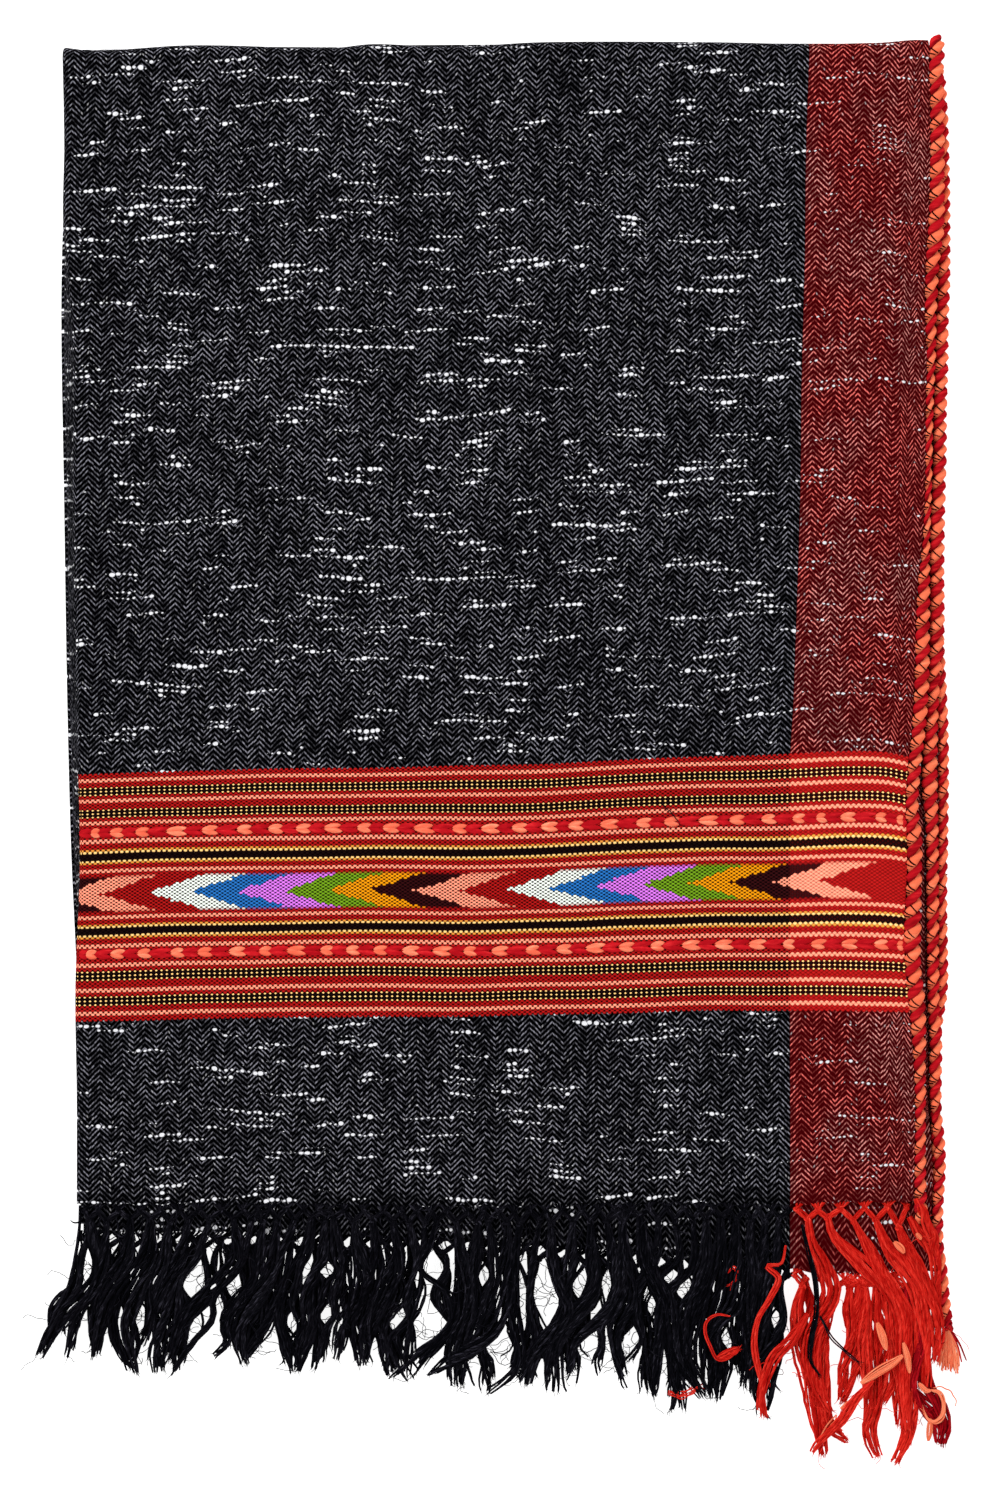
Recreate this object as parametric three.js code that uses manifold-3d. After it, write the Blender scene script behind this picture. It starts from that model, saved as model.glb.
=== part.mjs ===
// A woollen stole, folded flat in eight layers, with a twisted edging and a knotted fringe.
// Millimetres. +X runs across the cloth, +Y towards the top fold, +Z up from the table.
import * as THREE from 'three';
import { mergeVertices } from 'three/addons/utils/BufferGeometryUtils.js';
import Module from 'manifold-3d';

const wasm = await Module();
wasm.setup();

const { clamp, lerp, smoothstep } = THREE.MathUtils;

// Driving dimensions.
const clothWall = 1.2;          // wool twill with its nap
const seamGap = 0.45;           // between neighbouring pieces
const pileHeight = 6.6;         // the six hidden layers
const rollReach = 5;            // how far the top fold rounds away in plan
const rollDrop = 6;             // how far the front layer comes down over the top fold
const ropeHalfWidth = 3.1;
const ropeHalfHeight = 2.2;
const ropeLay = 9.8;            // one full turn of the two plies
const ropeSeam = 0.9;           // between a rope and the cloth it is whipped to
const tasselPitch = 10.05;      // from knot to knot along a fringed end
const borderStart = 122;        // where the red side border begins
const hiddenEndBack = 3;        // the hidden fringed ends lie this far behind the second one

const underLevel = pileHeight + seamGap + clothWall / 2;
const frontLevel = underLevel + clothWall + seamGap;
const frontTop = frontLevel + clothWall / 2;

// The left fold of the front layer and of the hidden ones, from the fringe upwards.
const leftFolds = [
  { y: -220, front: -178.6, hidden: -177.2 },
  { y: -146, front: -178.5, hidden: -177.4 },
  { y: -99, front: -179.1, hidden: -178.8 },
  { y: -45, front: -177.2, hidden: -181.2 },
  { y: 22, front: -178.7, hidden: -182.9 },
  { y: 106, front: -180, hidden: -184.2 },
  { y: 177, front: -180.5, hidden: -185.3 },
  { y: 222, front: -184.2, hidden: -184.6 },
  { y: 256, front: -183.8, hidden: -182.2 },
  { y: 297, front: -184.6, hidden: -183 },
];

// The outer line of the top fold.
const topFold = [
  { x: -184.6, y: 296.6 },
  { x: -171, y: 295.2 },
  { x: -130, y: 297.5 },
  { x: -72, y: 296.3 },
  { x: -54, y: 298 },
  { x: -22, y: 296.8 },
  { x: 18, y: 298.8 },
  { x: 88, y: 298.8 },
  { x: 129, y: 298 },
  { x: 170, y: 298.6 },
  { x: 188, y: 297.4 },
];

// Where the woven cloth ends and the fringe begins.
const clothEnds = [
  { x: -180, front: -190.6, under: -201.8 },
  { x: -101, front: -189.8, under: -202.7 },
  { x: -9, front: -190.8, under: -205.2 },
  { x: 41, front: -190, under: -209.4 },
  { x: 75, front: -189.4, under: -212.7 },
  { x: 117, front: -190.2, under: -216.9 },
  { x: 142, front: -189.4, under: -219.5 },
  { x: 186, front: -188.4, under: -217.6 },
];

// Centre line of the edging on the front selvedge, and of the one below it.
const frontRope = [
  { y: -198, x: 176.4, z: 10.5 },
  { y: -140, x: 175.6, z: 10.7 },
  { y: -100, x: 172.4, z: 10.7 },
  { y: -59, x: 172.4, z: 10.7 },
  { y: 8, x: 176.2, z: 10.7 },
  { y: 114, x: 179.1, z: 11 },
  { y: 181, x: 180, z: 11.2 },
  { y: 274, x: 180.8, z: 11.5 },
  { y: 287, x: 181.6, z: 11.6 },
];
const underRope = [
  { y: -241, x: 187.5, z: 2.8 },
  { y: -229, x: 185.6, z: 3.2 },
  { y: -219, x: 184.4, z: 5.4 },
  { y: -208, x: 183.2, z: 7.8 },
  { y: -192, x: 183.6, z: 8.2 },
  { y: -173, x: 184.2, z: 7.7 },
  { y: -140, x: 182.9, z: 7.6 },
  { y: -59, x: 182.9, z: 7.6 },
  { y: 8, x: 184, z: 7.6 },
  { y: 114, x: 184.2, z: 7.6 },
  { y: 181, x: 185.4, z: 7.6 },
  { y: 256, x: 185.9, z: 7.6 },
  { y: 292, x: 186, z: 7.6 },
];
const frontRopeCurl = [
  { beyond: -4.5, z: 11.4 },
  { beyond: -1, z: 10.2 },
  { beyond: 1.2, z: 7.8 },
  { beyond: 1.6, z: 5.6 },
];

// Broad soft swells of the lying cloth: ridges where rise is above nought, troughs below it.
const swells = [
  { x: -95, y: 190, reachX: 70, reachY: 26, rise: 0.7 },
  { x: 60, y: 235, reachX: 55, reachY: 22, rise: -0.6 },
  { x: 20, y: 110, reachX: 95, reachY: 30, rise: 0.8 },
  { x: -110, y: 40, reachX: 42, reachY: 48, rise: -0.7 },
  { x: 105, y: -20, reachX: 38, reachY: 60, rise: 0.6 },
  { x: -30, y: -95, reachX: 80, reachY: 26, rise: 0.7 },
  { x: -120, y: -150, reachX: 40, reachY: 24, rise: -0.5 },
  { x: 90, y: -160, reachX: 50, reachY: 22, rise: 0.6 },
];

// The lowest line that the fringe reaches on the table.
const fringeReach = [
  { x: -196, y: -254 },
  { x: -172, y: -254.5 },
  { x: -155, y: -262 },
  { x: -139, y: -264 },
  { x: -108, y: -257 },
  { x: -88, y: -261 },
  { x: -59, y: -259 },
  { x: -18, y: -268 },
  { x: 0, y: -270.5 },
  { x: 29, y: -265 },
  { x: 53, y: -268 },
  { x: 73, y: -279 },
  { x: 100, y: -270 },
  { x: 118, y: -283 },
  { x: 136, y: -297 },
  { x: 148, y: -292 },
  { x: 167, y: -302.3 },
  { x: 187, y: -292 },
];

// How far each row's tassels lean sideways between root and tip.
const fringeLean = [
  { x: -176, front: -15, under: -20.5, lower: -4 },
  { x: -158, front: -8, under: -5, lower: -2 },
  { x: -130, front: -13, under: 4, lower: 3 },
  { x: -95, front: -15, under: -4, lower: 1 },
  { x: -60, front: -12, under: 5, lower: -4 },
  { x: -20, front: -8, under: -5, lower: 2 },
  { x: 20, front: -14, under: 4, lower: 4 },
  { x: 55, front: -9, under: -5, lower: -3 },
  { x: 85, front: 6, under: 5, lower: 2 },
  { x: 120, front: 2, under: -4, lower: -2 },
  { x: 145, front: 9, under: 3, lower: 2 },
  { x: 172, front: 13, under: 11, lower: 6 },
];

// Smooth value of one column of a table at a place along its key column.
function read(table, key, column, place) {
  const last = table.length - 1;
  const at = clamp(place, table[0][key], table[last][key]);
  let row = 0;
  while (row < last - 1 && table[row + 1][key] < at) row += 1;
  const slope = (n) => {
    const before = table[Math.max(n - 1, 0)];
    const after = table[Math.min(n + 1, last)];
    return (after[column] - before[column]) / (after[key] - before[key]);
  };
  const span = table[row + 1][key] - table[row][key];
  const t = (at - table[row][key]) / span;
  const blend = t * t * (3 - 2 * t);
  const ease = t * (1 - t) * span;
  return lerp(table[row][column], table[row + 1][column], blend)
    + ease * ((1 - t) * slope(row) - t * slope(row + 1));
}

// A repeatable value from nought to one for piece number n.
function scatter(n) {
  const wave = Math.sin(n * 12.9898 + 4.137) * 43758.5453;
  return wave - Math.floor(wave);
}

function swell(x, y) {
  const calm = smoothstep(x, -176, -150) * (1 - smoothstep(x, 140, 168));
  const level = smoothstep(y, -200, -170) * (1 - smoothstep(y, 262, 288));
  let height = 0;
  for (const s of swells) {
    height += s.rise * Math.exp(-(((x - s.x) / s.reachX) ** 2) - ((y - s.y) / s.reachY) ** 2);
  }
  return height * calm * level;
}

const topLine = (x) => read(topFold, 'x', 'y', x);
const endLine = (x, layer) => read(clothEnds, 'x', layer, x);
const foldLine = (y, layer) => read(leftFolds, 'y', layer, y);

// A closed wall between an outer and an inner grid of points.
function wallGeometry(acrossSteps, alongSteps, outer, inner) {
  const points = [];
  for (const side of [outer, inner]) {
    for (let j = 0; j <= alongSteps; j += 1) {
      for (let i = 0; i <= acrossSteps; i += 1) points.push(side(i, j));
    }
  }
  const id = (side, i, j) => (side * (alongSteps + 1) + j) * (acrossSteps + 1) + i;
  const faces = [];
  const quad = (a, b, c, d) => faces.push(a, b, c, a, c, d);
  for (let j = 0; j < alongSteps; j += 1) {
    for (let i = 0; i < acrossSteps; i += 1) {
      quad(id(0, i, j), id(0, i + 1, j), id(0, i + 1, j + 1), id(0, i, j + 1));
      quad(id(1, i, j), id(1, i, j + 1), id(1, i + 1, j + 1), id(1, i + 1, j));
    }
  }
  for (let i = 0; i < acrossSteps; i += 1) {
    quad(id(0, i, 0), id(1, i, 0), id(1, i + 1, 0), id(0, i + 1, 0));
    const end = alongSteps;
    quad(id(0, i, end), id(0, i + 1, end), id(1, i + 1, end), id(1, i, end));
  }
  for (let j = 0; j < alongSteps; j += 1) {
    quad(id(0, 0, j), id(0, 0, j + 1), id(1, 0, j + 1), id(1, 0, j));
    const end = acrossSteps;
    quad(id(0, end, j), id(1, end, j), id(1, end, j + 1), id(0, end, j + 1));
  }
  return indexed(points, faces);
}

// A closed skin over a row of equal rings, clockwise as seen from the first, capped at both ends.
function loftGeometry(rings, capFaces) {
  const count = rings[0].length;
  const faces = [];
  for (let s = 0; s < rings.length - 1; s += 1) {
    for (let k = 0; k < count; k += 1) {
      const next = (k + 1) % count;
      const [a, b] = [s * count + k, s * count + next];
      faces.push(a, b, b + count, a, b + count, a + count);
    }
  }
  const start = (rings.length - 1) * count;
  for (const [a, b, c] of capFaces) {
    faces.push(a, c, b, start + a, start + b, start + c);
  }
  return indexed(rings.flat(), faces);
}

function indexed(points, faces) {
  const geometry = new THREE.BufferGeometry().setFromPoints(points);
  geometry.setIndex(faces);
  return geometry;
}

function fanCap(count) {
  const faces = [];
  for (let k = 1; k < count - 1; k += 1) faces.push([0, k, k + 1]);
  return faces;
}

function toSolid(geometry) {
  const bare = geometry.clone();
  bare.deleteAttribute('normal');
  bare.deleteAttribute('uv');
  const merged = mergeVertices(bare, 1e-4);
  return new wasm.Manifold(new wasm.Mesh({
    numProp: 3,
    vertProperties: new Float32Array(merged.attributes.position.array),
    triVerts: new Uint32Array(merged.index.array),
  }));
}

function toGeometry(solid) {
  const mesh = solid.getMesh();
  const geometry = new THREE.BufferGeometry();
  geometry.setAttribute('position', new THREE.BufferAttribute(mesh.vertProperties, mesh.numProp));
  geometry.setIndex(new THREE.BufferAttribute(mesh.triVerts, 1));
  return geometry;
}

// Front layer: a wall turned round the left fold and down over the top fold.
function frontPanel() {
  const foldSteps = 6;
  const flatSteps = 17;
  const lengthSteps = 19;
  const rollSteps = 4;
  const foldDepth = frontTop - underLevel + clothWall / 2;
  const foldBend = (frontLevel - underLevel) / 2;
  const rightEdge = (y) => read(frontRope, 'y', 'x', y) - ropeHalfWidth - ropeSeam;

  // Where a spot of the wall lies across the cloth, and how deep under the front face.
  const across = (i, y, side) => {
    const fold = foldLine(y, 'front');
    const offset = side * clothWall / 2;
    if (i <= foldSteps) {
      const turn = Math.PI * (1.5 - i / foldSteps);
      const radius = foldBend + offset;
      return {
        x: fold + foldDepth / 2 + radius * Math.cos(turn),
        depth: foldDepth / 2 - radius * Math.sin(turn),
      };
    }
    const part = (i - foldSteps) / flatSteps;
    const x = lerp(fold + foldDepth / 2, rightEdge(y), part);
    const climb = 1.5 * smoothstep(x, rightEdge(y) - 22, rightEdge(y));
    return { x, depth: clothWall / 2 - offset - climb };
  };
  const point = (i, j, side) => {
    const nearTop = j >= lengthSteps;
    const part = Math.min(j / lengthSteps, 1);
    const middle = lerp(-190, 292, part);
    const { x, depth } = across(i, middle, side);
    const crest = topLine(x);
    if (!nearTop) {
      const y = lerp(endLine(x, 'front'), crest - rollReach, part);
      return new THREE.Vector3(x, y, frontTop - depth + swell(x, y));
    }
    const turn = (j - lengthSteps) / rollSteps * Math.PI / 2;
    const facing = new THREE.Vector2(Math.sin(turn) / rollReach, Math.cos(turn) / rollDrop);
    facing.normalize();
    const y = crest - rollReach * (1 - Math.sin(turn)) - depth * facing.x;
    const z = frontTop - rollDrop * (1 - Math.cos(turn)) - depth * facing.y;
    return new THREE.Vector3(x, y, z);
  };
  return wallGeometry(
    foldSteps + flatSteps,
    lengthSteps + rollSteps,
    (i, j) => point(i, j, 1),
    (i, j) => point(i, j, -1),
  );
}

// Second layer: it shows below the front one and along the right edge.
function underPanel() {
  const acrossSteps = 15;
  const lengthSteps = 15;
  const point = (i, j, side) => {
    const part = j / lengthSteps;
    const middle = lerp(-212, 290, part);
    const left = foldLine(middle, 'front') + frontTop - underLevel + clothWall / 2;
    const right = read(underRope, 'y', 'x', middle) - ropeHalfWidth - ropeSeam;
    const x = lerp(left, right, i / acrossSteps);
    const y = lerp(endLine(x, 'under'), topLine(x) - rollReach - 1, part);
    return new THREE.Vector3(x, y, underLevel + side * clothWall / 2 + swell(x, y));
  };
  return wallGeometry(acrossSteps, lengthSteps, (i, j) => point(i, j, 1), (i, j) => point(i, j, -1));
}

// The six layers below share one solid: three folds on the left, rounded ends, corded right edge.
function foldedLayers() {
  const layerFolds = [3.6, 1.8, 0];   // how far each fold draws in, from the lowest up
  const lobeHeight = 1 / layerFolds.length;
  const lobeReach = pileHeight * lobeHeight / 2;
  const cordRight = 187.6;
  const cordHeights = [0.6, 0.2];
  const cordReach = 1.4;
  const acrossSteps = 12;

  // Clockwise from the right: underside, left folds, upper face, corded edge.
  const ring = [];
  for (let k = acrossSteps; k >= 0; k -= 1) ring.push({ part: k / acrossSteps, height: 0 });
  layerFolds.forEach((inset, n) => {
    for (const turn of [-1.1, -0.4, 0.4, 1.1]) {
      ring.push({
        fromLeft: inset + lobeReach * (1 - Math.cos(turn)),
        height: lobeHeight * (n + 0.5 + Math.sin(turn) / 2.06),
      });
    }
  });
  for (let k = 0; k <= acrossSteps; k += 1) {
    const dip = 0.22 * smoothstep(k, acrossSteps - 2, acrossSteps - 0.8);
    ring.push({ part: k / acrossSteps, height: 1 - dip });
  }
  for (const middle of cordHeights) {
    for (const turn of [1, 0, -1]) {
      ring.push({ fromRight: cordReach * Math.cos(turn * 1.05), height: middle + 0.17 * turn });
    }
  }

  // Along is measured from the lowest hidden end, in a pile that is 500 mm long.
  const pileLength = 500;
  const stations = [
    { along: 0, low: 4.3, high: 5.5 },
    { along: 0.8, low: 4, high: 5.9 },
    { along: 12.5, low: 3.9, high: 6.3 },
    { along: 13, low: 2.2, high: 6.3 },
    { along: 13.8, low: 0.7, high: 6.4 },
    { along: 15.4, low: 0, high: pileHeight },
  ];
  const evenStations = 10;
  for (let n = 1; n <= evenStations; n += 1) {
    stations.push({ along: lerp(15.4, 488, n / evenStations), low: 0, high: pileHeight });
  }
  stations.push(
    { along: 494.4, low: 0, high: pileHeight },
    { along: 496.4, low: 0, high: 6 },
    { along: 497.6, low: 0, high: 4.8 },
    { along: 497.9, low: 0, high: 3.2 },
    { along: 499.5, low: 0.3, high: 3 },
    { along: pileLength, low: 1, high: 2.3 },
  );
  const rings = stations.map(({ along, low, high }) => {
    const part = along / pileLength;
    const middle = lerp(-205, 297, part);
    const left = foldLine(middle, 'hidden');
    return ring.map((spot) => {
      let x = lerp(left + layerFolds[0] + lobeReach, cordRight - cordReach, spot.part ?? 0);
      if (spot.fromLeft !== undefined) x = left + spot.fromLeft;
      if (spot.fromRight !== undefined) x = cordRight - cordReach + spot.fromRight;
      const start = endLine(x, 'under') + hiddenEndBack + 15 * smoothstep(x, 166, 178);
      const y = lerp(start, topLine(x), part);
      const lift = spot.height > 0.5 ? swell(x, y) * (high === pileHeight) : 0;
      return new THREE.Vector3(x, y, lerp(low, high, spot.height) + lift);
    });
  });
  return loftGeometry(rings, pileCap(rings[8], acrossSteps, layerFolds.length * 4));
}

// The pile's end faces: a strip between underside and upper face, closed at the left and right.
function pileCap(ring, acrossSteps, leftCount) {
  const under = (k) => acrossSteps - k;
  const upper = (k) => acrossSteps + 1 + leftCount + k;
  const faces = [];
  for (let k = 0; k < acrossSteps; k += 1) {
    faces.push([under(k + 1), under(k), upper(k)], [under(k + 1), upper(k), upper(k + 1)]);
  }
  const run = (from, to) => Array.from({ length: to - from + 1 }, (_, n) => from + n);
  const leftSide = run(under(0), upper(0));
  const rightSide = [...run(upper(acrossSteps), ring.length - 1), under(acrossSteps)];
  for (const side of [leftSide, rightSide]) {
    const outline = side.map((n) => new THREE.Vector2(ring[n].z, ring[n].x));
    for (const corners of THREE.ShapeUtils.triangulateShape(outline, [])) {
      faces.push(corners.map((n) => side[n]));
    }
  }
  return faces;
}

// Two plies twisted together: every half turn a ply crosses over, as a slanting swelling.
function ropeGeometry(route, taperLength) {
  const corners = 5;
  const waist = 0.74;
  const slant = 0.7;
  const length = route.getLength();
  const steps = Math.round(length / ropeLay * 4);
  const across = new THREE.Vector3(1, 0, 0);
  const rings = [];
  for (let s = 0; s <= steps; s += 1) {
    const run = s / steps * length;
    const centre = route.getPointAt(s / steps);
    const ahead = route.getTangentAt(s / steps);
    const side = across.clone().addScaledVector(ahead, -across.dot(ahead)).normalize();
    const up = side.clone().cross(ahead);
    const taper = lerp(0.5, 1, smoothstep(Math.min(run, length - run), 0, taperLength));
    const girth = taper * (s % 2 === 0 ? waist : 1);
    rings.push(Array.from({ length: corners }, (_, corner) => {
      const turn = Math.PI * (0.5 - 2 * corner / corners);
      const sideways = ropeHalfWidth * girth * Math.cos(turn);
      return centre.clone()
        .addScaledVector(side, sideways)
        .addScaledVector(ahead, sideways * slant)
        .addScaledVector(up, ropeHalfHeight * girth * Math.sin(turn));
    }));
  }
  return loftGeometry(rings, fanCap(corners));
}

function frontRopeRoute() {
  const points = frontRope.map((row) => new THREE.Vector3(row.x, row.y, row.z));
  const last = points[points.length - 1];
  for (const curl of frontRopeCurl) {
    points.push(new THREE.Vector3(last.x + 0.8, topLine(last.x) + curl.beyond, curl.z));
  }
  return new THREE.CatmullRomCurve3(points);
}

function underRopeRoute() {
  return new THREE.CatmullRomCurve3(underRope.map((row) => new THREE.Vector3(row.x, row.y, row.z)));
}

// One lock of yarn: a closed three-sided tube, thick at its knot and loose below it.
const lockForm = [
  { part: 0, width: 0.9, thick: 0.3 },
  { part: 0.04, width: 1, thick: 0.35 },
  { part: 0.1, width: 1.9, thick: 1 },
  { part: 0.19, width: 1.3, thick: 0.8 },
  { part: 0.42, width: 3.1, thick: 1 },
  { part: 0.76, width: 2.9, thick: 0.9 },
  { part: 1, width: 0.8, thick: 0.5 },
];

function lockGeometry(route, girth) {
  const rings = lockForm.map(({ part, width, thick }) => {
    const centre = route.getPoint(part);
    const ahead = route.getTangent(part);
    const side = new THREE.Vector3(-ahead.y, ahead.x, 0).normalize();
    return [[1, -0.8], [0, 1.15], [-1, -0.8]].map(([sideways, up]) => {
      const point = centre.clone().addScaledVector(side, sideways * width * girth);
      point.z += up * thick;
      return point;
    });
  });
  return loftGeometry(rings, fanCap(3));
}

// A fringed end: tassels that stand apart, their roots fused into a narrow heading. Each row has
// the level of its cloth, the first tassel's place, the heights that a lock passes on its way down
// (crest, then tip, with fall as the share of that drop made by its middle) and how much short of
// the lowest line it may end.
const headingWidth = 3;
const fringeRows = {
  front: { level: frontLevel, end: 'front', start: -172.5, crest: 10.2, tip: 7, fall: 0.5, short: 11 },
  under: { level: underLevel, end: 'under', start: -175.6, crest: 7.2, tip: 3.9, fall: 0.8, short: 1 },
  lower: { level: 4.9, end: 'under', start: -169.2, crest: 4.4, tip: 1.3, fall: 0.8, short: 9 },
};
const rowSeeds = { front: 3, under: 41, lower: 87 };

function fringe(rowName, fromX, toX) {
  const row = fringeRows[rowName];
  const endBack = rowName === 'lower' ? hiddenEndBack : 0;
  const edge = (x) => endLine(x, row.end) + endBack - seamGap;
  const headingSteps = Math.round((toX - fromX) / 20);
  const heading = (i, j, side) => {
    const x = lerp(fromX, toX, i / headingSteps);
    const z = row.level + side * (clothWall / 2 - 0.1);
    return new THREE.Vector3(x, edge(x) - headingWidth * (1 - j), z);
  };
  let solid = toSolid(wallGeometry(
    headingSteps, 1, (i, j) => heading(i, j, 1), (i, j) => heading(i, j, -1),
  ));
  for (let n = 0; row.start + n * tasselPitch < toX - 1.5; n += 1) {
    const x = row.start + n * tasselPitch;
    if (x > fromX + 1.5) {
      solid = solid.add(toSolid(tassel(row, rowName, x, edge(x), n)));
    }
  }
  return toGeometry(solid);
}

function tassel(row, rowName, x, edgeY, n) {
  const chance = scatter(rowSeeds[rowName] + n);
  const other = scatter(rowSeeds[rowName] + n * 7 + 150);
  const tipX = x + read(fringeLean, 'x', rowName, x) + (other - 0.5) * 2.4;
  const tipY = read(fringeReach, 'x', 'y', tipX) + row.short * (0.3 + chance);
  const root = new THREE.Vector3(x, edgeY - headingWidth * 0.6, row.level);
  const tip = new THREE.Vector3(tipX, tipY, row.tip);
  const bow = (chance - 0.5) * 3;
  const shoulder = root.clone().lerp(tip, 0.28);
  shoulder.x = lerp(root.x, tip.x, 0.2) + bow;
  shoulder.z = row.crest;
  const belly = root.clone().lerp(tip, 0.66);
  belly.x = lerp(root.x, tip.x, 0.62) - bow * 0.5;
  belly.z = lerp(row.crest, row.tip, row.fall);
  const route = new THREE.CatmullRomCurve3([root, shoulder, belly, tip]);
  return lockGeometry(route, 0.88 + 0.24 * other);
}

// The edging's plies run out in a small tassel below a bound neck.
function edgingTassel() {
  const neck = new THREE.Vector3(188.2, -244.6, 2.7);
  const head = new THREE.SphereGeometry(1, 8, 6);
  head.scale(2.6, 2.6, 2.1);
  head.translate(neck.x, neck.y, neck.z);
  let solid = toSolid(head);
  const tips = [
    { x: 196.4, y: -256, z: 1.1 },
    { x: 191.2, y: -260, z: 1.6 },
    { x: 186.4, y: -258.5, z: 1.1 },
  ];
  for (const { x, y, z } of tips) {
    const tip = new THREE.Vector3(x, y, z);
    const middle = neck.clone().lerp(tip, 0.5);
    middle.x += (tip.x - neck.x) * 0.12;
    const route = new THREE.CatmullRomCurve3([neck, middle, tip]);
    solid = solid.add(toSolid(lockGeometry(route, 0.7)));
  }
  return toGeometry(solid);
}

const finishes = {
  cloth: { color: 0x2b2a2f, roughness: 0.95, metalness: 0 },
  hidden: { color: 0x252429, roughness: 0.95, metalness: 0 },
  edging: { color: 0xd9543f, roughness: 0.8, metalness: 0 },
  blackYarn: { color: 0x131217, roughness: 0.9, metalness: 0 },
  redYarn: { color: 0xbe1e17, roughness: 0.85, metalness: 0 },
};

const stole = new THREE.Group();

function addPiece(name, geometry, finish) {
  const piece = new THREE.Mesh(geometry, new THREE.MeshStandardMaterial(finishes[finish]));
  piece.name = name;
  stole.add(piece);
}

addPiece('folded_layers', foldedLayers(), 'hidden');
addPiece('under_panel', underPanel(), 'cloth');
addPiece('front_panel', frontPanel(), 'cloth');
addPiece('edging_under', ropeGeometry(underRopeRoute(), 3), 'edging');
addPiece('edging_front', ropeGeometry(frontRopeRoute(), 3), 'edging');
addPiece('edging_tassel', edgingTassel(), 'edging');

const fringeSpans = {
  front: { left: -178, right: 170 },
  under: { left: -178, right: 176 },
  lower: { left: -174, right: 172 },
};
for (const [rowName, span] of Object.entries(fringeSpans)) {
  addPiece(`fringe_${rowName}_black`, fringe(rowName, span.left, borderStart), 'blackYarn');
  addPiece(`fringe_${rowName}_red`, fringe(rowName, borderStart + seamGap, span.right), 'redYarn');
}

export default stole;
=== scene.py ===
"""A handwoven woollen stole, folded flat in eight layers: herringbone cloth with a red side border
and a tapestry band, twisted edgings along the selvedge and a knotted fringe.

Tables and sizes are in millimetres, and MM turns them into Blender's metres. +X runs across the
cloth, +Y towards the top fold and +Z up from the table.
"""

import math
from functools import partialmethod

import bpy
import numpy as np
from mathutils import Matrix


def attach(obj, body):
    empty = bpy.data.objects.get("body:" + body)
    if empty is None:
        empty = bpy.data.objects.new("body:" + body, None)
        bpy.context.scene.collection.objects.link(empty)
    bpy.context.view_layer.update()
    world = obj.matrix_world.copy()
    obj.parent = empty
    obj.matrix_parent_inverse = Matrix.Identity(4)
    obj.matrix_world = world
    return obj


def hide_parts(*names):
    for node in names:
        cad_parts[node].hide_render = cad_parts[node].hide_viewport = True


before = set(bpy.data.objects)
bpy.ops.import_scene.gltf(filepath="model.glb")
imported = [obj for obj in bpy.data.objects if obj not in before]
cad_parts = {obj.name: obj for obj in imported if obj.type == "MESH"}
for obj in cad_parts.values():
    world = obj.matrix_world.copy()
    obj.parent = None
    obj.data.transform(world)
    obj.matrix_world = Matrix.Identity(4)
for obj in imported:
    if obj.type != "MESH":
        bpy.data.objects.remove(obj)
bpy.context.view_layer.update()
MM = 0.001


# ---- Camera, light and table -------------------------------------------------------------------
# The stole lies on a plain white light table under broad soft lamps, seen from straight above.
scene = bpy.context.scene
scene.view_settings.view_transform = "Standard"

view_height = 630 * MM
view_middle = 0.63 * MM
focus_level = 9.5 * MM
camera_data = bpy.data.cameras.new("overhead_camera")
camera_data.lens = 100
camera_data.sensor_width = 36
camera = bpy.data.objects.new("overhead_camera", camera_data)
camera_distance = view_height * camera_data.lens / camera_data.sensor_width
camera.location = (0, view_middle, focus_level + camera_distance)
scene.collection.objects.link(camera)
scene.camera = camera


def dye(red, green, blue):
    """A colour given in screen values from 0 to 255, as the shaders take it."""
    shares = np.array([red, green, blue]) / 255
    linear = np.where(shares <= 0.04045, shares / 12.92, ((shares + 0.055) / 1.055) ** 2.4)
    return (*linear.tolist(), 1)


def soft_lamp(name, place, size, power):
    """A square lamp that looks at the middle of the stole."""
    data = bpy.data.lights.new(name, "AREA")
    data.size = size
    data.energy = power
    lamp = bpy.data.objects.new(name, data)
    lamp.location = place
    lamp.rotation_euler = lamp.location.to_track_quat("Z", "Y").to_euler()
    scene.collection.objects.link(lamp)


soft_lamp("window_side", (-1.3, 1.2, 1.7), 1.1, 36)
soft_lamp("room_side", (1.5, -0.6, 1.9), 1.6, 13)

world = bpy.data.worlds.new("studio")
world.use_nodes = True
background = world.node_tree.nodes["Background"].inputs
background["Color"].default_value = (1, 1, 1, 1)
background["Strength"].default_value = 0.62
scene.world = world

table_reach = 4
bpy.ops.mesh.primitive_plane_add(size=2 * table_reach)
table_top = bpy.context.object
table_top.name = "table_top"
table_paint = bpy.data.materials.new("white_table")
table_paint.use_nodes = True
glowing = table_paint.node_tree.nodes["Principled BSDF"].inputs
glowing["Base Color"].default_value = dye(190, 190, 190)
glowing["Roughness"].default_value = 0.8
glowing["Emission Color"].default_value = (1, 1, 1, 1)
glowing["Emission Strength"].default_value = 0.9
table_top.data.materials.append(table_paint)


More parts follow.
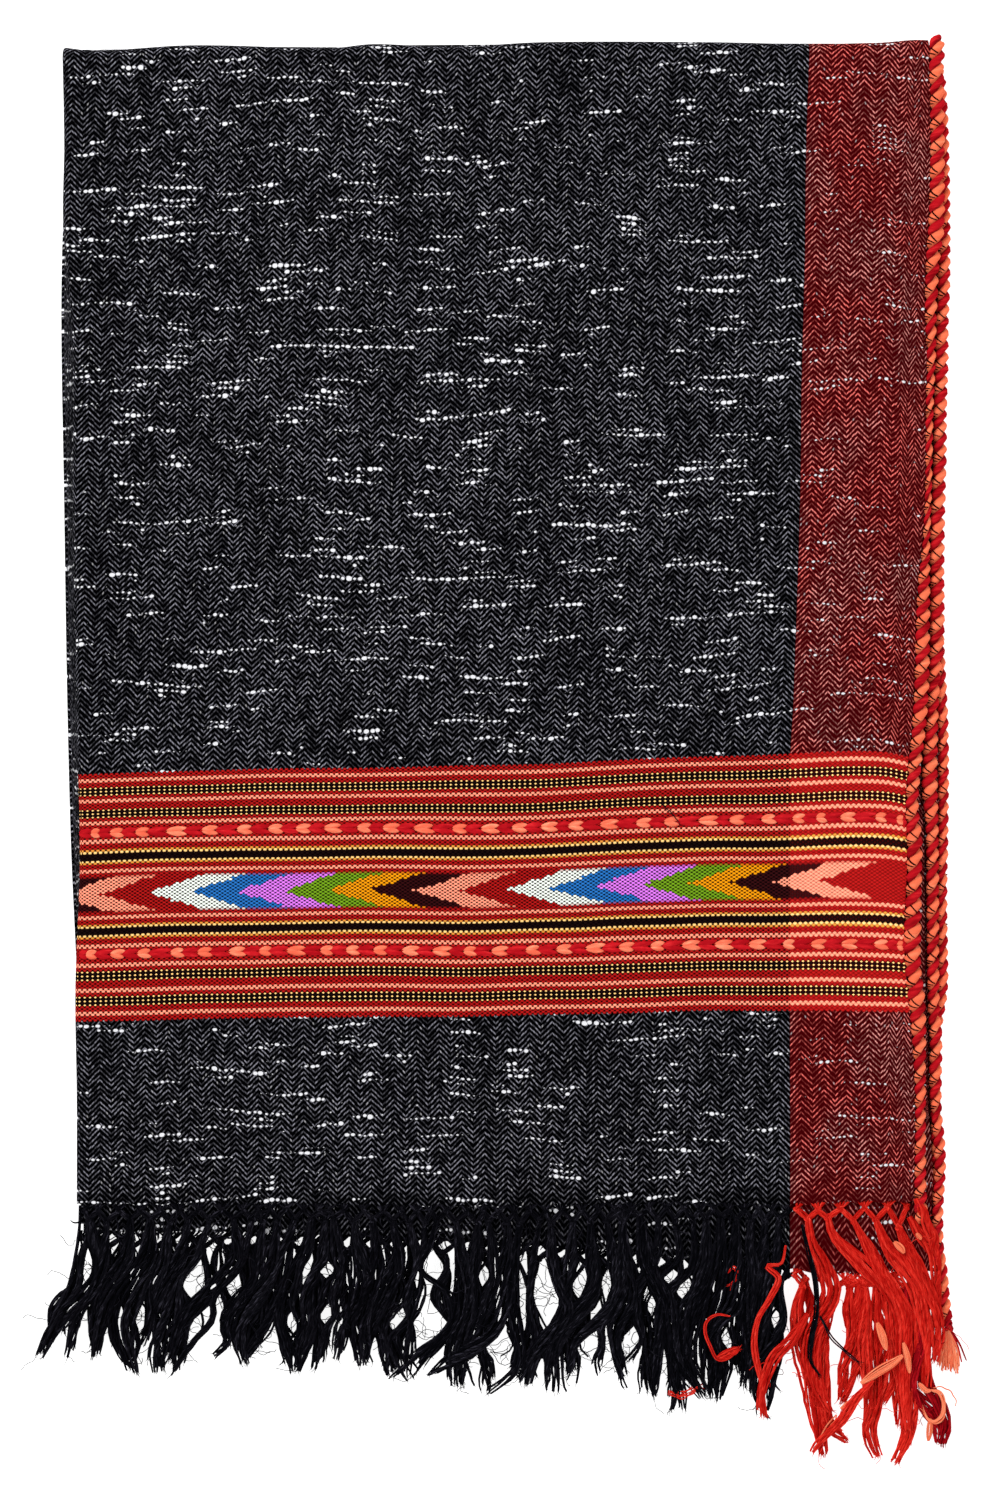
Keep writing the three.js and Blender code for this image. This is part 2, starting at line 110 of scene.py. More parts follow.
# ---- Woven finish ------------------------------------------------------------------------------
# The weaver's cloth: pointed twill in grey on black, and in dusty red on dark red along one
# selvedge, with white slubs spun into the weft, and a weft-faced tapestry band across each end.
class Wire:
    """A value in a node tree. Arithmetic on it adds Math nodes."""

    def __init__(self, tree, socket):
        self.tree = tree
        self.socket = socket

    def maths(self, operation, *others):
        node = self.tree.nodes.new("ShaderNodeMath")
        node.operation = operation
        for slot, value in zip(node.inputs, (self, *others)):
            plug(self.tree, value, slot)
        return Wire(self.tree, node.outputs[0])

    def __rsub__(self, other):
        return (self * -1) + other

    __add__ = partialmethod(maths, "ADD")
    __sub__ = partialmethod(maths, "SUBTRACT")
    __mul__ = partialmethod(maths, "MULTIPLY")
    __truediv__ = partialmethod(maths, "DIVIDE")
    __abs__ = partialmethod(maths, "ABSOLUTE")
    floor = partialmethod(maths, "FLOOR")
    fract = partialmethod(maths, "FRACT")
    rounded = partialmethod(maths, "ROUND")
    above = partialmethod(maths, "GREATER_THAN")

    def smooth(self, low, high):
        """Nought at low and one at high, with a soft step between them."""
        node = self.tree.nodes.new("ShaderNodeMapRange")
        node.interpolation_type = "SMOOTHSTEP"
        for label, value in (("Value", self), ("From Min", low), ("From Max", high)):
            plug(self.tree, value, node.inputs[label])
        return Wire(self.tree, node.outputs["Result"])


def plug(tree, value, slot):
    """Links a wire to a socket, or sets the socket to a plain value."""
    if isinstance(value, Wire):
        tree.links.new(value.socket, slot)
    else:
        slot.default_value = value


def pair(tree, across, along_it):
    node = tree.nodes.new("ShaderNodeCombineXYZ")
    plug(tree, across, node.inputs[0])
    plug(tree, along_it, node.inputs[1])
    return Wire(tree, node.outputs[0])


def chances(tree, across, along_it):
    """Three unlike random values for each pair of whole numbers."""
    node = tree.nodes.new("ShaderNodeTexWhiteNoise")
    node.noise_dimensions = "2D"
    plug(tree, pair(tree, across, along_it), node.inputs["Vector"])
    split = tree.nodes.new("ShaderNodeSeparateColor")
    tree.links.new(node.outputs["Color"], split.inputs[0])
    return [Wire(tree, split.outputs[n]) for n in range(3)]


def cloudy(tree, across, along_it, detail=0):
    """Soft noise, whose patches are one unit across."""
    node = tree.nodes.new("ShaderNodeTexNoise")
    node.noise_dimensions = "2D"
    node.inputs["Scale"].default_value = 1
    node.inputs["Detail"].default_value = detail
    plug(tree, pair(tree, across, along_it), node.inputs["Vector"])
    return Wire(tree, node.outputs[0])


def blend(tree, share, first, second, way="MIX"):
    node = tree.nodes.new("ShaderNodeMix")
    node.data_type = "RGBA"
    node.blend_type = way
    for slot, value in ((node.inputs[0], share), (node.inputs[6], first), (node.inputs[7], second)):
        plug(tree, value, slot)
    return Wire(tree, node.outputs[2])


def grey(tree, value):
    """One value in all three channels."""
    node = tree.nodes.new("ShaderNodeCombineColor")
    for n in range(3):
        plug(tree, value, node.inputs[n])
    return Wire(tree, node.outputs[0])


def steps(tree, value, stops):
    """A colour ramp without blending: stops are (from where, colour)."""
    node = tree.nodes.new("ShaderNodeValToRGB")
    ramp = node.color_ramp
    ramp.interpolation = "CONSTANT"
    ramp.elements.remove(ramp.elements[1])
    ramp.elements[0].position = 0
    ramp.elements[0].color = stops[0][1]
    for start, colour in stops[1:]:
        ramp.elements.new(start).color = colour
    plug(tree, value, node.inputs[0])
    return Wire(tree, node.outputs[0])


def new_group(name, inputs, outputs):
    """An empty shader group, with its input wires and a function that sets an output."""
    tree = bpy.data.node_groups.new(name, "ShaderNodeTree")
    for label in inputs:
        tree.interface.new_socket(label, in_out="INPUT", socket_type="NodeSocketFloat")
    for label, kind in outputs.items():
        tree.interface.new_socket(label, in_out="OUTPUT", socket_type="NodeSocket" + kind)
    start = tree.nodes.new("NodeGroupInput")
    end = tree.nodes.new("NodeGroupOutput")
    wires = [Wire(tree, start.outputs[label]) for label in inputs]
    return tree, wires, lambda label, wire: plug(tree, wire, end.inputs[label])


def placed(tree, group, **inputs):
    """A group set into a tree: a dictionary of its output wires."""
    node = tree.nodes.new("ShaderNodeGroup")
    node.node_tree = group
    for label, value in inputs.items():
        plug(tree, value, node.inputs[label])
    return {socket.name: Wire(tree, socket) for socket in node.outputs}


def wool_shader(name, map_name, roughness, specular):
    """A matt material: itself, its tree, its shader's sockets, and the two values of a UV map."""
    material = bpy.data.materials.new(name)
    material.use_nodes = True
    tree = material.node_tree
    wool = tree.nodes["Principled BSDF"].inputs
    wool["Roughness"].default_value = roughness
    wool["Specular IOR Level"].default_value = specular
    place = tree.nodes.new("ShaderNodeUVMap")
    place.uv_map = map_name
    split = tree.nodes.new("ShaderNodeSeparateXYZ")
    tree.links.new(place.outputs[0], split.inputs[0])
    return material, tree, wool, Wire(tree, split.outputs[0]), Wire(tree, split.outputs[1])


def cover(tree, wool, colour, relief, strength, depth):
    """Gives a shader its colour, and a relief that is depth mm deep."""
    bump = tree.nodes.new("ShaderNodeBump")
    bump.inputs["Strength"].default_value = strength
    bump.inputs["Distance"].default_value = depth * MM
    plug(tree, relief, bump.inputs["Height"])
    tree.links.new(bump.outputs[0], wool["Normal"])
    plug(tree, colour, wool["Base Color"])


twill_column = 4.75     # width of one column of slanting lines
twill_pitch = 2.27      # from line to line along the cloth
twill_stitch = 1.1875   # one float of the twill: four to a column
narrow_from = 40        # past here the columns draw in beside the selvedge,
narrowing = 0.6         # by this share


def twill_group():
    tree, (across, along_it), give = new_group(
        "Pointed twill", ("Across", "Along"), {"Line": "Float", "Speck": "Float"})
    run = across + (across - narrow_from).maths("MAXIMUM", 0) * narrowing
    climb = (along_it - run.maths("PINGPONG", twill_column)) / twill_pitch
    stitch = run / twill_stitch
    beat = 1 - abs(stitch.fract() * 2 - 1)
    chance, other, shift = chances(tree, stitch.floor(), climb.floor())
    ridge = 1 - abs(climb.fract() * 2 - 0.78 - shift * 0.44)
    patch = cloudy(tree, across / 30, along_it / 42, 2).smooth(0.25, 0.75) * 0.5 + 0.75
    line = ridge.smooth(0.52, 0.98) * (beat * 0.7 + 0.3) * (chance * chance * 1.8 + 0.12) * patch
    give("Line", line)
    give("Speck", other.above(0.97) * ridge.smooth(0.5, 0.8) * beat.smooth(0.3, 0.7))
    return tree


slub_row = 2.55         # the slubbed weft shows in rows this far apart
slub_step = 2.43        # from dot to dot along a row


def slub_group():
    tree, (across, along_it, amount), give = new_group(
        "Slubs", ("Across", "Along", "Amount"), {"Dot": "Float"})
    wander = cloudy(tree, across / 60, along_it / 40) * 8 + cloudy(tree, across / 13, along_it / 9)
    level = (along_it + wander) / slub_row
    step = across / slub_step
    size, aside, aloft = chances(tree, step.floor(), level.floor())
    run = cloudy(tree, across / 21, level.floor() * 5.37)
    strength = run + amount - across.above(0) * 0.035 + size * 0.03
    present = strength.smooth(0.6, 0.68)
    big = strength.smooth(0.62, 0.82) * 0.34 + size.maths("POWER", 6) * 0.34
    radius = (size * 0.32 + big + 0.14) * present * (1 - across.above(0) * 0.25)
    off_x = (step.fract() - 0.5 - (aside - 0.5) * 0.3) * slub_step
    off_y = (level.fract() - 0.5 - (aloft - 0.5) * 0.25) * slub_row
    distance = (off_x * off_x * 0.58 + off_y * off_y * 1.15).maths("SQRT")
    give("Dot", ((radius - distance) * 3.4).smooth(0, 1) * (present * 0.6 + 0.4))
    return tree


# The band's picks, counted from its middle outwards: each colour starts at its row and runs to
# the next. Rows below eleven belong to the arrows, and 31 to 38 to the chain.
pick_height = 0.756
pick_stitch = 1.113     # from warp to warp
band_rows = 68
band_start = 79.4       # from the end of the cloth to the band
band_length = 2 * band_rows * pick_height
band_middle = band_start + band_length / 2
band_dyes = {
    "red": dye(158, 21, 20),
    "salmon": dye(252, 146, 118),
    "yellow": dye(242, 194, 120),
    "amber": dye(208, 132, 52),
    "black": dye(20, 8, 8),
    "white": dye(232, 238, 228),
    "blue": dye(36, 104, 176),
    "lilac": dye(208, 112, 226),
    "green": dye(104, 146, 26),
    "ochre": dye(228, 142, 12),
    "brown": dye(46, 12, 14),
}
band_chart = [
    (0, "red"), (13, "salmon"), (15, "red"), (18, "amber"), (19, "yellow"), (20, "black"),
    (24, "yellow"), (25, "amber"), (26, "red"), (29, "salmon"), (31, "red"), (39, "salmon"),
    (41, "red"),
    (43, "yellow"), (44, "black"), (45, "yellow"), (46, "black"), (47, "yellow"), (48, "red"),
    (52, "salmon"), (54, "red"),
    (56, "yellow"), (57, "black"), (58, "yellow"), (59, "black"), (60, "yellow"), (61, "red"),
    (64, "salmon"), (66, "red"),
]
checked_rows = (45, 58)     # the middle rows of the two checked stripes
half_check = 2.6            # and half of their width, in rows
arrow_rows = 10.5
# One set of arrows: where each tip lies, as a share of the set's length.
arrow_tips = [(0, "white"), (0.121, "blue"), (0.246, "lilac"), (0.377, "green"), (0.501, "ochre"),
              (0.616, "brown"), (0.742, "salmon"), (0.868, "red")]
arrow_repeat = 150.8
arrow_sweep = 2.3           # how far an arm falls back in one row
first_tip = -269.6          # a white tip, measured from the red border
last_tip = 14.0             # past this red tip the arrow row is plain red


def tapestry_group():
    """Weft floats set like bricks: a pick passes over every second warp, and each float is a
    small lozenge of one colour, with a dark dot of warp at its ends."""
    tree, (across, along_it), give = new_group(
        "Tapestry band", ("Across", "Along"),
        {"Colour": "Color", "Inside": "Float", "Relief": "Float"})
    wobble = (cloudy(tree, across / 40, along_it / 60) - 0.5) * 0.9
    warp = across / pick_stitch
    pick = (along_it - band_middle + wobble) / pick_height

    def nearest_float(shift):
        rising = (warp + pick + shift) * 0.5
        falling = (warp - pick + shift) * 0.5
        near_rising = rising.rounded()
        near_falling = falling.rounded()
        edge = abs(rising - near_rising).maths("MAXIMUM", abs(falling - near_falling)) * 2
        return near_rising + near_falling - shift, near_rising - near_falling, edge

    float_warp, float_pick, edge = nearest_float(0)
    row = abs(float_pick)
    place = float_warp * pick_stitch
    chart_length = band_rows + 2
    stripes = steps(tree, row / chart_length, [
        (max(start - 0.5, 0) / chart_length, band_dyes[name]) for start, name in band_chart])

    _, tone, _ = chances(tree, float_pick, float_warp)
    uneven, _, _ = chances(tree, float_pick, (place / 19).floor())
    behind_tip = place - row * arrow_sweep + (uneven - 0.5) * 2.6
    arrows = steps(tree, ((behind_tip - first_tip) / arrow_repeat).fract(), [
        (start, band_dyes[name]) for start, name in arrow_tips])
    arrows = blend(tree, behind_tip.above(last_tip), arrows, band_dyes["red"])
    colour = blend(tree, arrow_rows - row, stripes, arrows)

    first, second = [half_check - abs(row - middle) for middle in checked_rows]
    checked = first.maths("MAXIMUM", second).above(0)
    colour = blend(tree, edge.smooth(0.36, 0.66) * checked, colour, band_dyes["black"])

    dot_warp, dot_pick, _ = nearest_float(1)
    off_warp = (warp - dot_warp) * pick_stitch
    off_pick = (pick - dot_pick) * pick_height
    distance = (off_warp * off_warp * 0.6 + off_pick * off_pick).maths("SQRT")
    warp_shows = 1 - distance.smooth(0.28, 0.46)

    in_border = across.above(0)
    pile = cloudy(tree, across / 6, float_pick * 3.1, 1)
    # Painted highlight in each float's middle and painted shade towards its edges, with a random tone
    # for each float, a cloudy variation and a lighter tone over the red border.
    light = (1 - edge * edge) * 0.8 + 0.46 + tone * 0.16 + pile * 0.3 + in_border * 0.26
    colour = blend(tree, 1.0, colour, grey(tree, light), "MULTIPLY")
    dot_dye = blend(tree, in_border, dye(6, 3, 5), dye(96, 8, 10))
    colour = blend(tree, warp_shows * (0.92 - in_border * 0.5), colour, dot_dye)
    give("Colour", colour)
    give("Inside", (band_rows + 0.5 - row).above(0))
    give("Relief", 1 - edge * edge)
    return tree


twill = twill_group()
slubs = slub_group()
tapestry = tapestry_group()
fold_shade = (-302, -258)   # the twill is a little darker here, beside the left fold


def woven_finish(name, banded, slub_amount, shade_to):
    """Wool cloth in the weave's own coordinates: the Cloth map holds millimetres from the border
    and from the fringed end. Towards that end the twill lines are painted darker as shade, up to
    the last argument's distance from it."""
    material, tree, wool, across, along_it = wool_shader(name, "Cloth", 1, 0.004)
    weave = placed(tree, twill, Across=across, Along=along_it)
    in_border = across.above(0)
    fade = cloudy(tree, across / 26, along_it / 34, 2).smooth(0.35, 0.7)
    # Painted shade: the twill lines darken towards the fringed end, and a little beside the left
    # fold.
    lit = weave["Line"] * (along_it.smooth(1, shade_to) * 0.65 + 0.35)
    lit = lit * (across.smooth(*fold_shade) * 0.18 + 0.82)
    dark = blend(tree, lit, dye(1, 1, 2), dye(142, 141, 152))
    dusty = blend(tree, fade, dye(252, 116, 108), dye(240, 158, 150))
    red = blend(tree, lit * 1.15, dye(62, 0, 4), dusty)
    colour = blend(tree, in_border, dark, red)
    colour = blend(tree, weave["Speck"] * 0.55, colour, dye(190, 188, 190))
    dots = placed(tree, slubs, Across=across, Along=along_it, Amount=slub_amount)
    colour = blend(tree, dots["Dot"], colour, dye(234, 234, 238))
    relief = weave["Line"] + dots["Dot"] * 1.4

    if banded:
        band = placed(tree, tapestry, Across=across, Along=along_it)
        colour = blend(tree, band["Inside"], colour, band["Colour"])
        relief = relief * (1 - band["Inside"]) + band["Relief"] * band["Inside"] * 1.2
    fibre = cloudy(tree, across * 2.1, along_it * 2.1, 3)
    cover(tree, wool, colour, relief + fibre * 0.5, 0.55, 0.35)
    return material


# ---- Front layer -------------------------------------------------------------------------------
# The layer that shows: cloth turned round the left fold, lying flat to the edged selvedge and
# rolling down over the top fold. Its fringed end lies at the bottom.
cloth_wall = 1.2
under_level = 7.65
front_level = 9.3
front_top = front_level + cloth_wall / 2
roll_reach = 5
roll_drop = 6
rope_seam = 0.9


def table(columns, rows):
    """A table with named columns, which along() reads by the first one."""
    values = np.array(rows, float)
    return {name: values[:, n] for n, name in enumerate(columns.split())}


left_folds = table("y front hidden", [
    (-220, -178.6, -177.2), (-146, -178.5, -177.4), (-99, -179.1, -178.8), (-45, -177.2, -181.2),
    (22, -178.7, -182.9), (106, -180, -184.2), (177, -180.5, -185.3), (222, -184.2, -184.6),
    (256, -183.8, -182.2), (297, -184.6, -183),
])
top_fold = table("x y", [
    (-184.6, 296.6), (-171, 295.2), (-130, 297.5), (-72, 296.3), (-54, 298), (-22, 296.8),
    (18, 298.8), (88, 298.8), (129, 298), (170, 298.6), (188, 297.4),
])
cloth_ends = table("x front under", [
    (-180, -190.6, -201.8), (-101, -189.8, -202.7), (-9, -190.8, -205.2), (41, -190, -209.4),
    (75, -189.4, -212.7), (117, -190.2, -216.9), (142, -189.4, -219.5), (186, -188.4, -217.6),
])
# The front edging's middle line and half its width: the cloth hides part of it here and there.
front_rope = table("y x z wide", [
    (-198, 176.2, 10.5, 2.8), (-178, 175.7, 10.6, 2.5), (-152, 175.8, 10.7, 2.3),
    (-134, 175.5, 10.7, 2.5), (-118, 175.1, 10.7, 3.1), (-104, 174.2, 10.7, 3.5),
    (-92, 172.8, 10.7, 3.4), (-76, 172.5, 10.7, 3.6), (-52, 173.2, 10.7, 3.2),
    (-38, 173.3, 10.7, 3.3), (-22, 172.3, 10.7, 2.7), (-6, 173.4, 10.7, 2.8), (8, 175, 10.7, 2.9),
    (30, 176.4, 10.8, 3.1), (50, 176.8, 10.8, 3), (70, 177.3, 10.9, 2.6), (88, 178.3, 11, 1.6),
    (112, 179.2, 11, 1.5), (142, 179.6, 11, 1.7), (164, 180.3, 11.1, 1.9),
    (185, 180.2, 11.2, 2.5), (206, 181, 11.2, 2.9), (220, 182.4, 11.3, 3.3),
    (240, 182.8, 11.4, 3.1), (274, 182.9, 11.5, 3), (287, 182.5, 11.6, 3),
])
# Where the red border begins, and the band's lower and upper edges.
border_line = table("y x", [
    (-186, 121.2), (-5, 121.2), (22, 122.6), (106, 125.4), (154, 126), (208, 127.4), (251, 127.9),
    (298, 129.4),
])
band_lines = table("x low high", [
    (-177, -113, -9.9), (-104, -111.6, -7.9), (-1, -110.7, -6.1), (79, -108.6, -2.7),
    (125, -108.6, -1.2), (150, -108.9, -0.3), (162, -109, -0.7), (171, -109.2, -2.7),
])
# Broad soft swells of the lying cloth, then narrower creases: ridges where rise is above nought,
# troughs below it.
swells = table("x y reach_x reach_y rise", [
    (-95, 190, 70, 26, 0.7), (60, 235, 55, 22, -0.6), (20, 110, 95, 30, 0.8),
    (-110, 40, 42, 48, -0.7), (105, -20, 38, 60, 0.6), (-30, -95, 80, 26, 0.7),
    (-120, -150, 40, 24, -0.5), (90, -160, 50, 22, 0.6),
])
creases = table("x y length width turn rise", [
    (-128, 236, 96, 7, 12, 0.42), (-40, 262, 130, 8, -4, -0.4), (72, 208, 84, 6, 18, 0.36),
    (-60, 128, 120, 9, -9, -0.42), (46, 62, 140, 8, 6, 0.4), (-122, 2, 74, 6, 24, 0.3),
    (-12, 24, 90, 7, -14, -0.34), (96, 118, 70, 6, -28, -0.32), (-96, -148, 88, 7, 8, 0.36),
    (28, -166, 110, 6, -5, -0.36), (112, -132, 60, 6, 32, 0.3), (140, 34, 120, 5, 84, 0.34),
    (-152, 118, 130, 5, 86, -0.36), (150, 232, 90, 5, 78, -0.3),
])


def along(rows, column, place):
    """Smooth value of a table's column at one place or many, by the table's first column."""
    key = rows[next(iter(rows))]
    value = rows[column]
    slope = np.empty(len(key))
    slope[1:-1] = (value[2:] - value[:-2]) / (key[2:] - key[:-2])
    slope[0] = (value[1] - value[0]) / (key[1] - key[0])
    slope[-1] = (value[-1] - value[-2]) / (key[-1] - key[-2])
    at = np.clip(place, key[0], key[-1])
    n = np.clip(np.searchsorted(key, at) - 1, 0, len(key) - 2)
    span = key[n + 1] - key[n]
    t = (at - key[n]) / span
    share = t * t * (3 - 2 * t)
    ease = t * (1 - t) * span
    return value[n] * (1 - share) + value[n + 1] * share + ease * (
        (1 - t) * slope[n] - t * slope[n + 1])


def step(value, low, high):
    """A soft step from nought at low to one at high."""
    t = np.clip((value - low) / (high - low), 0, 1)
    return t * t * (3 - 2 * t)


def between(first, second, share):
    return first + (second - first) * share


def relief_of(x, y):
    """How far the lying cloth stands above or below its level."""
    height = np.zeros(np.broadcast(x, y).shape)
    for cx, cy, reach_x, reach_y, rise in zip(*swells.values()):
        height += rise * np.exp(-(((x - cx) / reach_x) ** 2) - ((y - cy) / reach_y) ** 2)
    fine = np.zeros(height.shape)
    for cx, cy, length, width, turn, rise in zip(*creases.values()):
        cos, sin = math.cos(math.radians(turn)), math.sin(math.radians(turn))
        lengthwise = (x - cx) * cos + (y - cy) * sin
        off = (y - cy) * cos - (x - cx) * sin + 3 * np.sin(lengthwise / 19)
        fine += rise * np.exp(-((off / width) ** 2) - (lengthwise / length * 2) ** 4)
    calm = step(x, -176, -150) * (1 - step(x, 140, 168))
    level = step(y, -200, -170) * (1 - step(y, 262, 288))
    return (height + fine) * calm * level


# The picks are beaten closer in some parts of the band: shares of its length up to them, counted
# in picks and as they lie at its left and at its right. The one turns into the other over beaten_x.
beaten_x = (-64, 0)
band_beaten = table("picked left right", [
    (0, 0, 0), (0.25, 0.268, 0.2576), (0.338, 0.3585, 0.354), (0.5, 0.512, 0.503),
    (0.662, 0.665, 0.657), (0.75, 0.762, 0.75), (1, 1, 1),
])


def weave_place(x, y, layer):
    """Where a spot of a lying layer is in its weave, in mm from the border and from its end."""
    low = along(band_lines, "low", x)
    high = along(band_lines, "high", x)
    end = along(cloth_ends, layer, x)
    lying = (y - low) / (high - low)
    at_left = np.interp(lying, band_beaten["left"], band_beaten["picked"])
    at_right = np.interp(lying, band_beaten["right"], band_beaten["picked"])
    picked = between(at_left, at_right, step(x, *beaten_x))
    in_band = band_start + picked * band_length
    above = band_start + band_length + (y - high)
    below = (y - end) * band_start / (low - end)
    lengthwise = np.where(y > high, above, np.where(y < low, below, in_band))
    return x - along(border_line, "x", y), lengthwise


def add_map(mesh, name, places):
    """Gives a mesh a UV map: one place for each corner of its faces."""
    mesh.uv_layers.new(name=name).data.foreach_set("uv", places.astype(np.float32).ravel())


def cloth_piece(name, outer, inner, weave, finish):
    """A closed wall between two grids of points, with the weave's coordinates on every face."""
    rows, columns = outer.shape[:2]
    count = rows * columns
    index = np.arange(count).reshape(rows, columns)
    quads = np.stack([index[:-1, :-1], index[:-1, 1:], index[1:, 1:], index[1:, :-1]], -1)
    quads = quads.reshape(-1, 4)
    rim = np.concatenate([index[0, :-1], index[:-1, -1], index[-1, :0:-1], index[:0:-1, 0]])
    ahead = np.roll(rim, -1)
    sides = np.stack([rim, rim + count, ahead + count, ahead], -1)
    faces = np.concatenate([quads, quads[:, ::-1] + count, sides])

    points = np.concatenate([outer.reshape(-1, 3), inner.reshape(-1, 3)]) * MM
    mesh = bpy.data.meshes.new(name)
    mesh.from_pydata(points.tolist(), [], faces.tolist())
    add_map(mesh, "Cloth", np.tile(weave.reshape(-1, 2), (2, 1))[faces])

    # The outer face takes most of the bake's map, the inner one a strip and the rim a line.
    grid = np.stack(np.meshgrid(np.linspace(0, 1, columns), np.linspace(0, 1, rows)), -1)
    grid = grid.reshape(-1, 2)
    outer_share, inner_share = 0.8, 0.13
    outer_map = grid * (0.98, outer_share) + 0.01
    inner_map = grid * (0.98, inner_share) + (0.01, outer_share + 0.03)
    on_rim = np.linspace(0.01, 0.99, len(rim) + 1)
    left, right = on_rim[:-1], on_rim[1:]
    low, high = np.full(len(rim), 0.975), np.full(len(rim), 0.99)
    rim_map = np.stack([np.stack([left, high], -1), np.stack([left, low], -1),
                        np.stack([right, low], -1), np.stack([right, high], -1)], 1)
    bake = np.concatenate([outer_map[quads], inner_map[quads[:, ::-1]], rim_map])
    add_map(mesh, "OFBake", bake)
    return finished(mesh, finish)


def finished(mesh, *finishes, crease_angle=55):
    """Smooths a mesh, gives it its materials and links it as a piece."""
    mesh.validate()
    mesh.shade_smooth()
    mesh.set_sharp_from_angle(angle=math.radians(crease_angle))
    for finish in finishes:
        mesh.materials.append(finish)
    piece = bpy.data.objects.new(mesh.name, mesh)
    scene.collection.objects.link(piece)
    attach(piece, "root")
    return piece


tassel_pitch = 10.05    # from knot to knot along the fringe
first_knot = -172.5
knot_pull = 0.7         # how far a knot draws the cloth's end down
climb_width = 22        # the cloth climbs onto the edging over this width
climb_height = 1.5


def front_right(y):
    return along(front_rope, "x", y) - along(front_rope, "wide", y)


def front_climb(x, y):
    return climb_height * step(x, front_right(y) - climb_width, front_right(y))


def front_height(x, y):
    return front_top + front_climb(x, y) + relief_of(x, y)


def drawn_in(x):
    """The cloth's end is drawn down a little at each upper knot of the fringe."""
    return knot_pull * np.cos((x - first_knot) / tassel_pitch * 2 * math.pi)


def front_layer(offset):
    """One face of the layer, offset from the middle of its wall, and its places in the weave."""
    fold_steps, flat_steps, length_steps, roll_steps = 9, 146, 196, 12
    part = np.concatenate([np.linspace(0, 1, length_steps + 1), np.ones(roll_steps)])[:, None]
    turn = np.zeros(len(part))
    turn[length_steps:] = np.linspace(0, math.pi / 2, roll_steps + 1)
    turn = turn[:, None]
    middle = between(-190, 292, part)       # about where each row lies, to read the tables by
    fold_depth = front_top - under_level + cloth_wall / 2
    fold_bend = (front_level - under_level) / 2
    fold_x = along(left_folds, "front", middle) + fold_depth / 2
    bend = np.linspace(1.5, 0.5, fold_steps + 1)[None, :-1] * math.pi
    radius = fold_bend + offset
    flat_x = between(fold_x, front_right(middle), np.linspace(0, 1, flat_steps + 1)[None, :])
    x = np.concatenate([fold_x + radius * np.cos(bend), flat_x], 1)
    fold_under = fold_depth / 2 - radius * np.sin(bend) + 0 * part
    flat_under = cloth_wall / 2 - offset - front_climb(flat_x, middle)
    depth = np.concatenate([fold_under, flat_under], 1)
    wrapped = (bend - math.pi / 2) * (fold_bend + cloth_wall / 2)
    wrapped = np.concatenate([wrapped, np.zeros((1, flat_steps + 1))], 1)

    crest = along(top_fold, "y", x)
    end = along(cloth_ends, "front", x) - drawn_in(x) * (1 - part) ** 8
    flat_y = between(end, crest - roll_reach, part)
    facing_y = np.sin(turn) / roll_reach
    facing_z = np.cos(turn) / roll_drop
    facing = np.hypot(facing_y, facing_z)
    y = flat_y + roll_reach * np.sin(turn) - depth * facing_y / facing
    z = front_top - roll_drop * (1 - np.cos(turn)) - depth * facing_z / facing
    z = z + relief_of(x, y) * (turn == 0)
    across, lengthwise = weave_place(x, flat_y, "front")
    lengthwise = lengthwise + turn * (roll_reach + roll_drop) / 2
    points = np.stack([x + 0 * z, y, z], -1)
    return points, np.stack([across - wrapped, lengthwise + 0 * z], -1)


banded_wool = woven_finish("banded_wool", True, 0.0, 9)
outer_face, weave = front_layer(cloth_wall / 2)
inner_face, _ = front_layer(-cloth_wall / 2)
front_cloth = cloth_piece("front_cloth", outer_face, inner_face, weave, banded_wool)
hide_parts("front_panel")


# ---- Second layer ------------------------------------------------------------------------------
# The same cloth one layer down. It shows as a strip below the front layer's end and as a sliver
# beside its edging, so its rows are set closer there.
under_rope = table("y x z wide", [
    (-241, 187.5, 2.8, 2.9), (-229, 186, 3.2, 2.9), (-219, 185, 5.4, 2.8),
    (-208, 183.4, 7.8, 2.6), (-192, 183.5, 8.2, 2.3), (-175, 184.5, 7.9, 2.3),
    (-163, 184, 7.7, 2.4), (-152, 183, 7.6, 2.2), (-138, 182.4, 7.6, 2.7),
    (-122, 182.7, 7.6, 2.6), (-106, 181.7, 7.6, 2.5), (-60, 181.3, 7.6, 2.6),
    (-30, 181, 7.6, 2.7), (-14, 180, 7.6, 3.3), (8, 180.7, 7.6, 2.8), (28, 181.6, 7.6, 2.7),
    (48, 183.1, 7.6, 3.1), (76, 183.1, 7.6, 3.1), (96, 183.1, 7.6, 3.3), (112, 183.8, 7.6, 3),
    (128, 184.4, 7.6, 2.8), (142, 184.3, 7.6, 2.9), (164, 184.9, 7.6, 3), (181, 185.2, 7.6, 2.8),
    (198, 186, 7.6, 2.7), (236, 186, 7.6, 2.6), (264, 185.2, 7.6, 2.7), (284, 184, 7.6, 2.7),
])


